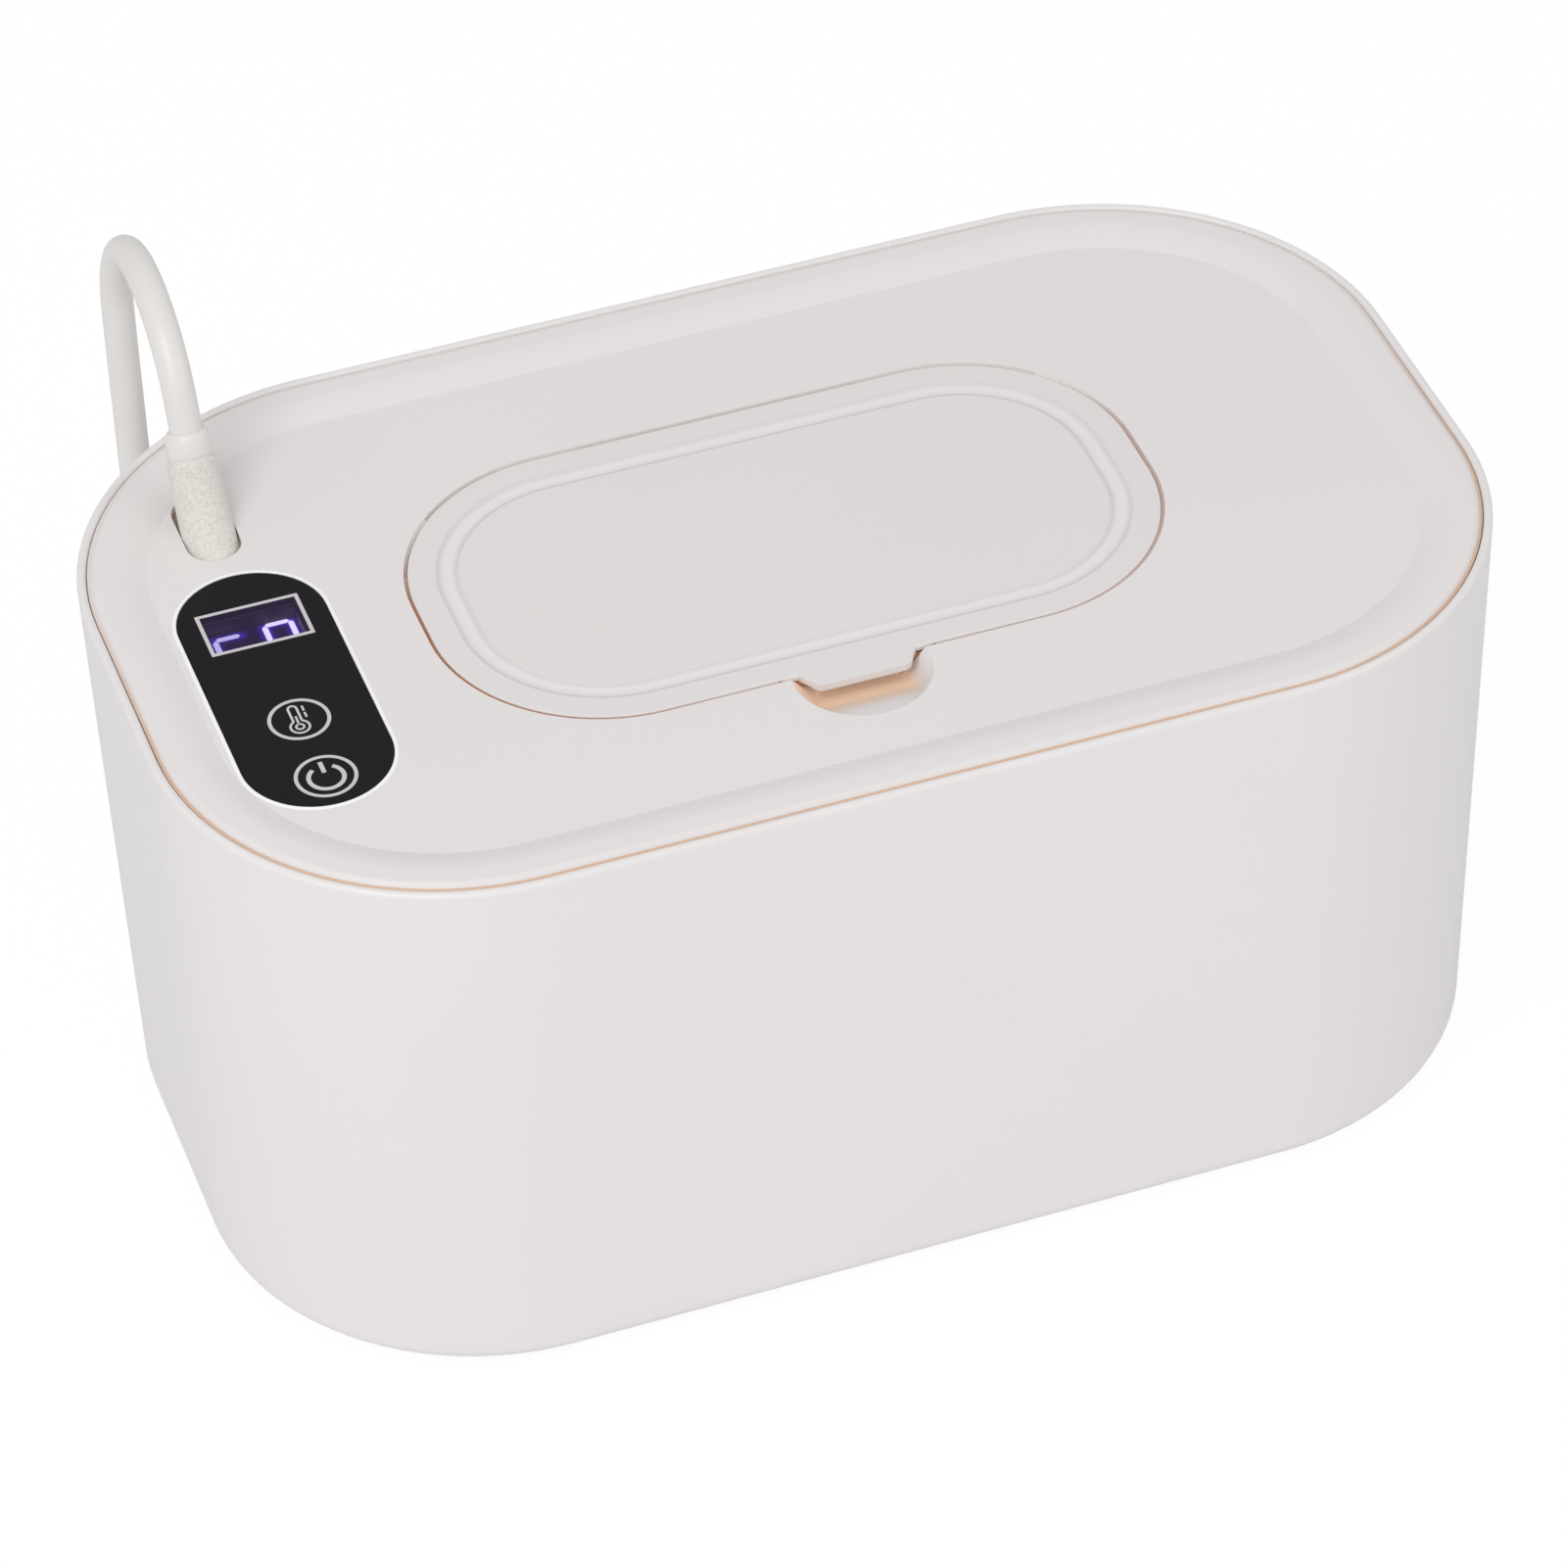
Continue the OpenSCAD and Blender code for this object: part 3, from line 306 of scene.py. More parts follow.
def moulded(name, colour, shade, roughness, grain=0.5, depth=0.01, drift=38, band=(0.0, 1.0), cast=None,
            glow=None, **shine):
    """Moulded plastic or rubber: a fine even grain in millimetres, and a drift of colour at a larger scale,
    which turns to the shade over a band of the noise. A cast is a second colour and the mask that brings
    it, and a glow is the colour, strength and mask of light that a place gives off."""
    made, tree = material(name)
    place = object_place(tree)
    flow = add(tree, "ShaderNodeTexNoise", {"Vector": place, "Scale": 1 / (drift * MM), "Detail": 3.0})
    share = add(tree, "ShaderNodeMapRange", {"Value": flow.outputs["Fac"], "From Min": band[0],
                                             "From Max": band[1]})
    tone = mix(tree, share.outputs["Result"], linear(colour), linear(shade))
    if cast:
        tone = mix(tree, cast[1](tree, place), tone, linear(cast[0]))
    fine = add(tree, "ShaderNodeTexNoise", {"Vector": place, "Scale": 1 / (grain * MM), "Detail": 3.0})
    rough = add(tree, "ShaderNodeMapRange", {"Value": fine.outputs["Fac"], "From Min": 0.3, "From Max": 0.7,
                                             "To Min": roughness - 0.04, "To Max": roughness + 0.04})
    bump = add(tree, "ShaderNodeBump", {"Height": fine.outputs["Fac"], "Strength": 0.25,
                                        "Distance": depth * MM})
    shader = add(tree, "ShaderNodeBsdfPrincipled", {
        "Base Color": tone, "Roughness": rough.outputs["Result"], "Normal": bump.outputs["Normal"],
        "IOR": 1.5, "Coat Roughness": 0.08, **shine})
    if glow:
        shader.inputs["Emission Color"].default_value = linear(glow[0])
        tree.links.new(maths(tree, glow[2](tree, place), glow[1]), shader.inputs["Emission Strength"])
    surface(tree, shader)
    return made


def metal(name, colour, roughness, brush=0.0):
    """Bare or plated metal, with fine rolling or turning lines."""
    made, tree = material(name)
    lines = add(tree, "ShaderNodeMapping", {"Vector": object_place(tree), "Scale": (0.05, 1.0, 1.0)})
    fine = add(tree, "ShaderNodeTexNoise", {"Vector": lines.outputs["Vector"], "Scale": 1 / (0.15 * MM),
                                            "Detail": 2.0})
    rough = add(tree, "ShaderNodeMapRange", {"Value": fine.outputs["Fac"], "To Min": roughness - 0.08,
                                             "To Max": roughness + 0.08})
    bump = add(tree, "ShaderNodeBump", {"Height": fine.outputs["Fac"], "Strength": 0.1 + brush,
                                        "Distance": 0.01 * MM})
    shader = add(tree, "ShaderNodeBsdfPrincipled", {
        "Base Color": linear(colour), "Metallic": 1.0, "Roughness": rough.outputs["Result"],
        "Normal": bump.outputs["Normal"]})
    surface(tree, shader)
    return made


def ramp(tree, value, start, stop, low=0.0, high=1.0):
    """A soft step of a coordinate between two places in millimetres."""
    return add(tree, "ShaderNodeMapRange", {"Value": value, "From Min": start * MM, "From Max": stop * MM,
                                            "To Min": low, "To Max": high},
               interpolation_type="SMOOTHSTEP").outputs["Result"]


def product(tree, *shares):
    whole = shares[0]
    for share in shares[1:]:
        whole = maths(tree, whole, share)
    return whole


def axes(tree, place):
    return add(tree, "ShaderNodeSeparateXYZ", {"Vector": place}).outputs


def in_notch(tree, place):
    """1 inside the finger notch under the tab, and none at the notch's front, right end and top."""
    x, y, z = axes(tree, place)
    return product(tree, ramp(tree, z, PANEL_Z - 0.1, PANEL_Z - 0.5), ramp(tree, y, -43.6, -38.0),
                   ramp(tree, y, -30, -32), ramp(tree, x, -13.5, -12.5), ramp(tree, x, 9.4, 6.8))


def front_left(tree, place):
    """1 along the flap's left end, its front left corner and the notch, less to the right, 0 at the back."""
    x, y, _ = axes(tree, place)
    notch = add(tree, "ShaderNodeMath", {0: x, 1: 0.0, 2: 13 * MM}, operation="COMPARE").outputs[0]
    side = maths(tree, ramp(tree, x, -18, -48, 0.5, 1.0), notch, "MAXIMUM")
    return product(tree, ramp(tree, y, 24, 4), side)


def thin_walls(tree, place):
    """Light through the lid's thin walls: in the finger notch below the tab, and less in the wall that the
    flap's gap shows at the back."""
    x, y, z = axes(tree, place)
    tab = product(tree, in_notch(tree, place), ramp(tree, y, -41.0, -37.5, 0.0, 0.9))
    wall = product(tree, ramp(tree, z, PANEL_Z - 0.03, PANEL_Z - 0.1), ramp(tree, y, 8, 20, 0.0, 0.4),
                   ramp(tree, y, 34.4, 34.3), ramp(tree, x, -61, -60.9), ramp(tree, x, 61, 60.9))
    return maths(tree, tab, wall, "MAXIMUM")


def groove(tree, place, *steps):
    """The flap's top at some distances from the rectangle of its corner arcs' centres. Each step gives four
    distances: the share rises from the first to the second and falls from the third to the fourth. The
    groove's own edges are at 24.2 and 20.6."""
    x, y, z = axes(tree, place)
    past = []
    for value, centre in zip((x, y), FLAP_CENTRE):
        rest = maths(tree, maths(tree, value, 0.0, "ABSOLUTE"), centre * MM, "SUBTRACT")
        past.append(maths(tree, rest, 0.0, "MAXIMUM"))
    flat = add(tree, "ShaderNodeCombineXYZ", {"X": past[0], "Y": past[1]})
    out = add(tree, "ShaderNodeVectorMath", {0: flat.outputs[0]}, operation="LENGTH").outputs["Value"]
    whole = 0.0
    for rise, full, fall, none in steps:
        line = product(tree, ramp(tree, out, rise, full), ramp(tree, out, none, fall))
        whole = maths(tree, whole, line, "MAXIMUM")
    return maths(tree, whole, ramp(tree, z, PANEL_Z - 1.2, PANEL_Z - 0.8))


def groove_edges(tree, place):
    """1 along both edges of the flap's groove, where less light gets in."""
    return groove(tree, place, (23.3, 23.9, 24.1, 24.5), (20.4, 20.9, 21.1, 21.7))


def groove_middle(tree, place):
    """1 along the middle of the flap's groove, which catches more light."""
    return groove(tree, place, (21.2, 21.9, 22.9, 23.6))


def back(tree, place):
    """1 along the back of the tub, none along its front."""
    return ramp(tree, axes(tree, place)["Y"], -25, 40)


# Moulded ABS with a fine spark-eroded grain: warm white, satin, broad soft highlights
abs_white = moulded("abs_satin_warm_white", "EDE9E9", "EAE6E6", 0.42)
# The same on the lid, with painted shade under the tab in the finger notch, in a warm tan for the light
# through its thin wall, and a painted glow there and, less, on the rear wall of the flap's opening
abs_lid = moulded("abs_satin_warm_white_lid", "EBE7E6", "E8E4E4", 0.42, cast=("EACAB0", in_notch),
                  glow=("F0D2B8", 0.25, thin_walls))
# The flap, a little darker than the lid round it, with painted shade along its groove's edges and a painted
# highlight along the groove's middle
abs_flap = moulded("abs_satin_warm_white_flap", "E8E4E3", "E5E1E0", 0.42, cast=("DED9D8", groove_edges),
                   glow=("FFFFFF", 0.035, groove_middle))
# The lip round the panel, polished in the mould: glossier than the grained wall, and painted whiter than it
# as a highlight
abs_polished = moulded("abs_glossy_lip_painted_highlight", "FFFEFE", "FDFCFC", 0.2, depth=0.001)
# The narrow ledges in the flap's gap, painted with the gap's shade: warm brown at the front left, for the
# shade there and the warm light through the walls
ledge_painted_shade = moulded("abs_painted_shade_brown_in_flap_gap", "E4DAD4", "E0D6D0", 0.5, cast=("A56F4C", front_left))
# The bead in the lid's gap, painted with the gap's shade: pale tan at the front, nearly white at the back
bead_painted_shade = moulded("abs_painted_shade_tan_in_lid_gap", "DEBFA8", "DABBA4", 0.5, cast=("E9E1DC", back))
# Moulded polypropylene for what lies inside: whiter, a little waxy
pp_white = moulded("polypropylene_waxy_white", "EEEDEB", "E9E8E5", 0.5,
                   **{"Subsurface Weight": 0.1, "Subsurface Scale": 1.0 * MM})
# Moulded silicone for the seals: soft, dull, faintly grey
silicone = moulded("silicone_dull_white", "DAD9D6", "D2D1CE", 0.62, grain=0.8)
# Thermoplastic rubber for the feet: dull grey, tacky
rubber_grey = moulded("rubber_matt_grey", "6B6B6C", "5F5F61", 0.75, grain=0.6, depth=0.03)
# Soft PVC of the cord, its plug and the relief's collar: smooth, faintly glossy off-white
pvc_white = moulded("pvc_soft_off_white", "ECE9E6", "E4E1DE", 0.36, grain=1.4, depth=0.02)
# The relief's sleeve, moulded against a blasted tool: mottled beige and white specks, no gloss
pvc_mottled = moulded("pvc_blasted_beige_white", "E8E5E0", "D3CDC3", 0.66, grain=0.3, depth=0.1, drift=0.5,
                      band=(0.4, 0.75))
# The relief's flange, painted a dull taupe that stands for the shade in the slot
flange_painted_shade = moulded("pvc_painted_shade_taupe_flange", "A08C80", "988478", 0.7)
# Back-printed acrylic sheet: deep black that stays calm under a soft light
acrylic_black = moulded("acrylic_gloss_black", "17151A", "1A181D", 0.16, grain=0.4, depth=0.001,
                        **{"Specular IOR Level": 0.11})
# Tinted clear acrylic of the window: dark violet, and lit digits show through it
acrylic_violet = moulded("acrylic_tinted_violet", "382849", "342545", 0.14, grain=0.4, depth=0.001,
                         **{"Specular IOR Level": 0.12, "Alpha": 0.62})
# Screen ink, thick enough to stand proud of the acrylic
ink_white = moulded("screen_ink_white", "D6D1D3", "CECACB", 0.5)
# Moulded epoxy and ABS of the display's block and of the chip: matt black
epoxy_black = moulded("epoxy_matt_black", "17161A", "1B1A1F", 0.5)
# Relay's case of PBT: plain blue, half gloss
relay_case = moulded("pbt_relay_blue", "2C4C86", "26447A", 0.4)
# Solder mask over copper: green, glossy, with a faint relief
board_mask = moulded("solder_mask_green", "1E5A34", "1A5030", 0.3, grain=1.2, depth=0.02,
                     **{"Coat Weight": 0.4})
# Polyimide film of the heater: amber, glossy
film_amber = moulded("polyimide_film_amber", "B8752A", "A86A24", 0.25, **{"Coat Weight": 0.3})
# Needled felt over the heater: pale, loose, no gloss
felt_pad = moulded("needled_felt_pale", "DBD9D4", "CFCDC8", 0.95, grain=0.9, depth=0.2)
# Acrylic foam tape under the panel: dull grey
tape_grey = moulded("acrylic_tape_grey", "4A4A4C", "444446", 0.7)
# Silicone sleeve of the leads: soft red
wire_red = moulded("silicone_wire_red", "A8231D", "98201A", 0.45)
# Zinc-plated steel of the screws and the pin: bright, faintly streaked
steel_bright = metal("steel_zinc_plated", "C9C9CB", 0.3)
# Rolled aluminium of the heater's plate: long fine lines, soft gleam
aluminium_plate = metal("aluminium_rolled", "D6D7D9", 0.32, brush=0.1)
# Nickel over brass on the plug's blades: warm bright grey
brass_plated = metal("brass_nickel_plated", "CFCBC2", 0.22)


def woven_strap(name, colour, light):
    """Nylon hook-and-loop strap: ribs of weave 0.8 mm apart across it, fuzzed by its loops."""
    made, tree = material(name)
    place = object_place(tree)
    rib = add(tree, "ShaderNodeTexWave", {"Vector": place, "Scale": 0.31 / (0.8 * MM), "Distortion": 1.5,
                                          "Detail": 2.0}, bands_direction="X")
    fuzz = add(tree, "ShaderNodeTexNoise", {"Vector": place, "Scale": 1 / (0.35 * MM), "Detail": 3.0})
    height = maths(tree, rib.outputs["Fac"], fuzz.outputs["Fac"], "ADD")
    tone = mix(tree, fuzz.outputs["Fac"], linear(colour), linear(light))
    bump = add(tree, "ShaderNodeBump", {"Height": height, "Strength": 0.6, "Distance": 0.12 * MM})
    shader = add(tree, "ShaderNodeBsdfPrincipled", {
        "Base Color": tone, "Roughness": 0.85, "Normal": bump.outputs["Normal"], "Sheen Weight": 0.3})
    surface(tree, shader)
    return made


def lit_face(name, colour, glow, strength):
    """Dark diffuser that glows where its "lit" attribute says, in a halo round the segments."""
    made, tree = material(name)
    lit = add(tree, "ShaderNodeAttribute", attribute_name="lit").outputs["Fac"]
    shader = add(tree, "ShaderNodeBsdfPrincipled", {
        "Base Color": linear(colour), "Roughness": 0.5, "Emission Color": linear(glow),
        "Emission Strength": maths(tree, lit, strength)})
    surface(tree, shader)
    return made


# Hook-and-loop strap of the coil: black, ribbed, dull
strap_black = woven_strap("nylon_woven_strap_black", "161618", "2A2A2C")
# Milky epoxy of the lit segments: lavender white
segment_glow = lit_face("epoxy_lit_segment_lavender", "D8D4EA", "C9BFFF", 9.0)
# Face round the segments: dark, with their blue-violet light spread in it
face_glow = lit_face("epoxy_face_violet_halo", "15141A", "4A30D0", 4.0)

FINISH = {
    abs_white: ["tub_shell"],
    abs_lid: ["lid_top_cover"],
    abs_flap: ["flap"],
    pp_white: ["tub_liner", "lid_inner_cover", "flap_tray"],
    silicone: ["lid_gasket", "flap_seal", "outlet_seal"],
    rubber_grey: ["foot_pads"],
    pvc_white: ["cord_boot", "cord", "cord_coil", "plug_body"],
    acrylic_black: ["control_panel"],
    acrylic_violet: ["display_window"],
    epoxy_black: ["display_module", "main_chip", "temperature_sensor"],
    relay_case: ["heater_relay"],
    board_mask: ["control_board"],
    film_amber: ["heater_film"],
    felt_pad: ["insulation_pad"],
    tape_grey: ["panel_adhesive"],
    strap_black: ["cord_tie"],
    wire_red: ["heater_leads", "sensor_leads", "cord_leads"],
    steel_bright: ["liner_screws", "lid_screws", "hinge_pin", "tray_screws", "board_screws", "boot_clamp",
                   "clamp_screws", "touch_springs", "thermal_fuse", "board_fuse"],
    aluminium_plate: ["heater_plate"],
    brass_plated: ["plug_pins"],
}
for finish, names in FINISH.items():
    for name in names:
        NODES[name].data.materials.clear()
        NODES[name].data.materials.append(finish)


def placed(piece, body, slot=None, *nodes):
    """Lets a piece ride on a body and stand for its CAD nodes, which it hides; the slot is not used."""
    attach(piece, body)
    if nodes:
        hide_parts(*nodes)
    return piece


# Cord, strain relief, tie and plug --------------------------------------------------------------

cord = solid("cord_whole", [tube(cord_line, [CORD_D / 2] * len(cord_line), 20)], pvc_white)
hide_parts("cord", "cord_coil")

angles = np.linspace(BOOT_START, BOOT_END, 40)
sleeve_points = [boot_at(BOOT_START, d) for d in (-8, -7.8, -6.2, -6)] + [boot_at(a) for a in angles] \
    + [boot_at(BOOT_END, d) for d in (0.35, 0.6, 0.75)]
sleeve_radii = [5.3, 5.5, 5.5, 4.1] + [4.32 - 0.3 * max(0, a - 46) / 22 for a in angles] + [3.9, 3.6, 3.2]
collar_points = [boot_at(BOOT_END, d) for d in (0.4, 0.5, 0.9, 1.15, 1.5, 3.9, 4.6, 5.0, 5.2)]
collar_radii = [3.2, 3.52, 3.52, 3.72, 3.8, 3.62, 3.45, 3.2, 2.95]
sleeve = placed(solid("relief_sleeve", [tube(sleeve_points, sleeve_radii, 32)], pvc_mottled),
                "lid", "cord_jacket", "cord_boot")
# The relief's flange, which fills the slot a little below the lid's surface, its taupe a painted shade
flange = [rounded(SLOT_X, 35.75, z, 8.96, 17.56, 4.48, 16) for z in (PANEL_Z - 2.4, PANEL_Z - 1.2)]
flange = placed(solid("relief_flange", [loft(flange)], flange_painted_shade), "lid", "cord_jacket")
collar = placed(solid("relief_collar", [tube(collar_points, collar_radii, 32)], pvc_white),
                "lid", "cord_jacket", "cord_boot")


def section(x, w, h, r):
    """The plug's outline across the cord at x: w wide along Y, h high along Z."""
    return [(x, coil_end[1] + u, coil_end[2] + v) for u, v, _ in rounded(0, 0, 0, w, h, r)]


BODY_X = coil_end[0] + 18
rib_radii = [3.0, 3.1]
for i in range(6):
    rib_radii += [3.35 + 0.2 * i] * 2 + [2.95 + 0.2 * i] * 2
rib_x = [0, 0.5] + [1.6 + 2.7 * i + d for i in range(6) for d in (0, 1.5, 1.7, 2.4)]
relief = tube([(coil_end[0] + x, coil_end[1], coil_end[2]) for x in rib_x], rib_radii, 28)
# The plug's body: place along it, width, height and corner radius
grip = [(-1.2, 8.6, 8.6, 4.2), (0, 11, 10.6, 4.4), (2, 17, 14.2, 4.6), (4.5, 22, 17, 4.4),
        (7, 23.8, 18.2, 4.1), (9, 23.2, 18.3, 4), (13, 22.2, 18.3, 4), (17, 23.2, 18.3, 4),
        (19.5, 24.6, 18.5, 4), (22.6, 25, 18.7, 4), (23.5, 24.7, 18.4, 3.9), (24, 24, 17.7, 3.6)]
grip = loft([section(BODY_X + x, w, h, r) for x, w, h, r in grip])
plug = solid("plug_moulded", [relief, grip], pvc_white)

# The blades: middle, reach to the tip and into the body, half height, half thickness, chamfer, apart
BLADE_X, BLADE_TIP, BLADE_ROOT, BLADE_HALF = 32.6, 8.9, 10.6, 3.15
BLADE_T, BLADE_CHAMFER, BLADE_APART = 0.75, 0.12, 6.35
HOLE_X, HOLE_R = 36.5, 1.6


def blade(y):
    """A flat pin with a round hole near its chamfered tip, standing out along +X."""
    def loop(side, shrink):
        points = []
        for c, s in ring_of(32):
            reach = min((BLADE_TIP - shrink if c > 0 else BLADE_ROOT) / max(abs(c), 1e-6),
                        (BLADE_HALF - shrink) / max(abs(s), 1e-6))
            points.append((BODY_X + BLADE_X + reach * c, y + side, coil_end[2] + reach * s))
        return points

    faces = [loop(side * (BLADE_T - inset), BLADE_CHAMFER - inset)
             for side, inset in ((-1, 0), (-1, BLADE_CHAMFER), (1, BLADE_CHAMFER), (1, 0))]
    hole = [[(BODY_X + HOLE_X + HOLE_R * c, y + side, coil_end[2] + HOLE_R * s) for c, s in ring_of(32)]
            for side in (BLADE_T, -BLADE_T)]
    return loft(faces + hole, ring=True)


pins = solid("plug_blades", [blade(coil_end[1] + s * BLADE_APART) for s in (-1, 1)], brass_plated)

# The strap round the coil, and its free end laid back over it
TIE_Y, TIE_Z = COIL_C[1] + COIL_MID, COIL_Z + COIL_PITCH / 2
TIE_W, TIE_H, TIE_R, TIE_HALF, TIE_T = 18.6, 12.2, 2.8, 3.9, 0.56
strap = [[(COIL_C[0] + x, TIE_Y + u, TIE_Z + v)
          for u, v, _ in rounded(0, 0, 0, TIE_W + t, TIE_H + t, TIE_R + t / 2, 8)]
         for x, t in ((-TIE_HALF, -TIE_T), (TIE_HALF, -TIE_T), (TIE_HALF, TIE_T), (-TIE_HALF, TIE_T))]
end = [(-4.5, 6.38), (4.5, 6.38), (4.8, 6.62), (4.5, 6.9), (-4.2, 6.9)]
end = [[(COIL_C[0] + x, TIE_Y + y, TIE_Z + z) for y, z in end] for x in (-3.8, 3.8)]
tie = solid("tie_strap", [loft(strap, ring=True), loft(end)], strap_black)

for piece, node in ((plug, "plug_body"), (pins, "plug_pins"), (tie, "cord_tie")):
    placed(piece, "tub", None, node)
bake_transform(cord)


# Display ----------------------------------------------------------------------------------------

WALL_Z = PANEL_Z - 1.8
MODULE_X, MODULE_W, MODULE_D = PANEL_X + 0.9, 15, 11
SHROUD, SHROUD_IN = (15.8, 9.4), (15.2, 8.8)
shroud = [rounded(PANEL_X, WINDOW_Y, z, *size, 0.4, 3) for z, size in
          ((DIGITS_Z - 0.5, SHROUD), (WALL_Z, SHROUD), (WALL_Z, SHROUD_IN), (DIGITS_Z - 0.5, SHROUD_IN))]
block = [rounded(MODULE_X, WINDOW_Y, z, MODULE_W + t, MODULE_D + t, 0.5, 3) for z, t in
         ((BOARD_Z, 0), (DIGITS_Z - 0.5, 0), (DIGITS_Z - 0.2, -0.5))]
placed(solid("display_block", [loft(shroud, ring=True), loft(block)], epoxy_black), "lid", "chip_black",
       "display_module")

# The digits: size, width of a bar, the lit bars of each by its middle, and a place between the two. The
# left digit is dimmer, as is the light it spreads.
DIGIT_W, DIGIT_H, BAR = 5.2, 9.14, 0.9
DIGITS = {(-88.9, 8.5): "afgcd", (-80.6, 9.3): "abcdef"}
RIGHT_FROM, LEFT_LIT, LEFT_HALO = -84.5, 0.6, 0.7


def bars(x, y):
    """The seven bars of a digit, each as its two ends."""
    w, h = (DIGIT_W - BAR) / 2, (DIGIT_H - BAR) / 2
    corner = {(i, j): (x + i * w, y + j * h) for i in (-1, 1) for j in (-1, 0, 1)}
    ends = {"a": ((-1, 1), (1, 1)), "b": ((1, 1), (1, 0)), "c": ((1, 0), (1, -1)), "d": ((-1, -1), (1, -1)),
            "e": ((-1, 0), (-1, -1)), "f": ((-1, 1), (-1, 0)), "g": ((-1, 0), (1, 0))}
    return {name: [np.array(corner[e]) for e in pair] for name, pair in ends.items()}


def bar_shell(a, b):
    """One bar with pointed ends, 0.06 proud of the face."""
    d = (b - a) / np.linalg.norm(b - a)
    n = np.array([-d[1], d[0]]) * BAR / 2
    a, b, tip = a + d * 0.12, b - d * 0.12, d * BAR / 2
    loop = [a, a + tip + n, b - tip + n, b, b - tip - n, a + tip - n]
    return loft([[(*p, z) for p in loop] for z in (DIGITS_Z - 0.1, DIGITS_Z)])


lit_bars = [bars(*at)[name] for at, names in DIGITS.items() for name in names]


def lit_attribute(obj, values):
    obj.data.attributes.new("lit", "FLOAT", "POINT").data.foreach_set("value", values)


digits = solid("lit_digits", [bar_shell(a, b) for a, b in lit_bars], segment_glow)
placed(digits, "lid", "display_grey")
lit_attribute(digits, [1.0 if v.co.x > RIGHT_FROM * MM else LEFT_LIT for v in digits.data.vertices])

# The face round the bars, a plate fine enough to carry their halo in its points
HALF_W, HALF_D, nx, ny = 7.58, 4.38, 60, 36
xs = np.linspace(PANEL_X - HALF_W, PANEL_X + HALF_W, nx)
ys = np.linspace(WINDOW_Y - HALF_D, WINDOW_Y + HALF_D, ny)
top = [(x, y, DIGITS_Z - 0.06) for y in ys for x in xs]
under = [(x, y, DIGITS_Z - 0.3) for x, y, _ in top]
faces = [(k, k + 1, k + nx + 1, k + nx) for j in range(ny - 1) for k in range(j * nx, j * nx + nx - 1)]
n = nx * ny
rim = list(range(nx)) + [j * nx + nx - 1 for j in range(1, ny)] + list(range(n - 2, n - nx - 1, -1)) \
    + [j * nx for j in range(ny - 2, 0, -1)]
faces += [tuple(n + i for i in f) for f in faces]
faces += [(a, b, n + b, n + a) for a, b in zip(rim, rim[1:] + rim[:1])]
face = placed(solid("display_face", [(top + under, faces)], face_glow), "lid", "display_grey")


def halo(p):
    """Light that reaches a point of the face from the nearest bars."""
    near = 0.0
    for a, b in lit_bars:
        t = min(1, max(0, (p - a).dot(b - a) / (b - a).dot(b - a)))
        gap = max(0.0, np.linalg.norm(p - a - t * (b - a)) - BAR / 2)
        near = max(near, (1.0 if a[0] > RIGHT_FROM else LEFT_HALO) * math.exp(-gap / 0.45))
    return near


lit_attribute(face, [halo(np.array(v.co[:2]) / MM) for v in face.data.vertices])


# Printed signs ----------------------------------------------------------------------------------

# Ink and its thickness: the window's frame, a ring round each key, the power sign and the thermometer
INK, RING_R, RING_T, POWER_T, STEM_R = 0.04, 4.65, 0.6, 0.72, 0.68
window_mark = [rounded(PANEL_X, WINDOW_Y, z, WINDOW_W + t, WINDOW_D + t, 0.15, 2)
               for z, t in ((PANEL_Z, -1.2), (PANEL_Z, 0.05), (PANEL_Z + INK, 0.05), (PANEL_Z + INK, -1.2))]
signs = [loft(window_mark, ring=True)]
for y in TOUCH_Y:
    signs.append(stroke(arc(PANEL_X, y, RING_R, 0, 360 * 63 / 64, 64), RING_T, PANEL_Z, INK, closed=True))
px, py = PANEL_X, TOUCH_Y[1]
signs.append(stroke(arc(px, py - 0.25, 2.75, 125, 415, 56), POWER_T, PANEL_Z, INK))
signs.append(stroke([(px, py + 0.9), (px, py + 3.5)], POWER_T, PANEL_Z, INK))
tx, ty = PANEL_X - 0.35, TOUCH_Y[0] - 1.75
stem = [(tx + STEM_R, ty + 1.4), (tx + STEM_R, ty + 4.5)] + arc(tx, ty + 4.5, STEM_R, 15, 165, 9) \
    + [(tx - STEM_R, ty + 4.5), (tx - STEM_R, ty + 1.4)]
signs.append(stroke(stem + arc(tx, ty, 1.5, 121, 419, 40), 0.38, PANEL_Z, INK, closed=True))
signs.append(stroke(arc(tx, ty, 0.62, 0, 360 * 23 / 24, 24), 0.36, PANEL_Z, INK, closed=True))
signs.append(stroke([(tx, ty + 0.6), (tx, ty + 2.6)], 0.34, PANEL_Z, INK))
for y in (1.9, 3.5):
    signs.append(stroke([(tx + 1.6, ty + y), (tx + 1.6, ty + y + 1.2)], 0.36, PANEL_Z, INK))
placed(solid("printed_signs", signs, ink_white), "lid")

# The pocket's moulded lip, a low bead that catches the light all round the panel, its whiter colour a painted
# highlight
lip = ((0.32, -0.1), (0.32, 0.06), (0.44, 0.12), (0.9, 0.14), (1.3, 0.11), (1.55, 0.05), (1.6, -0.1))
lip = [rounded(PANEL_X, PANEL_Y, PANEL_Z + z, PANEL_W + t, PANEL_L + t, (PANEL_W + t) / 2 - 0.01, 24)
       for t, z in lip]
placed(solid("pocket_lip", [loft(lip, ring=True)], abs_polished), "lid", "white_shell")


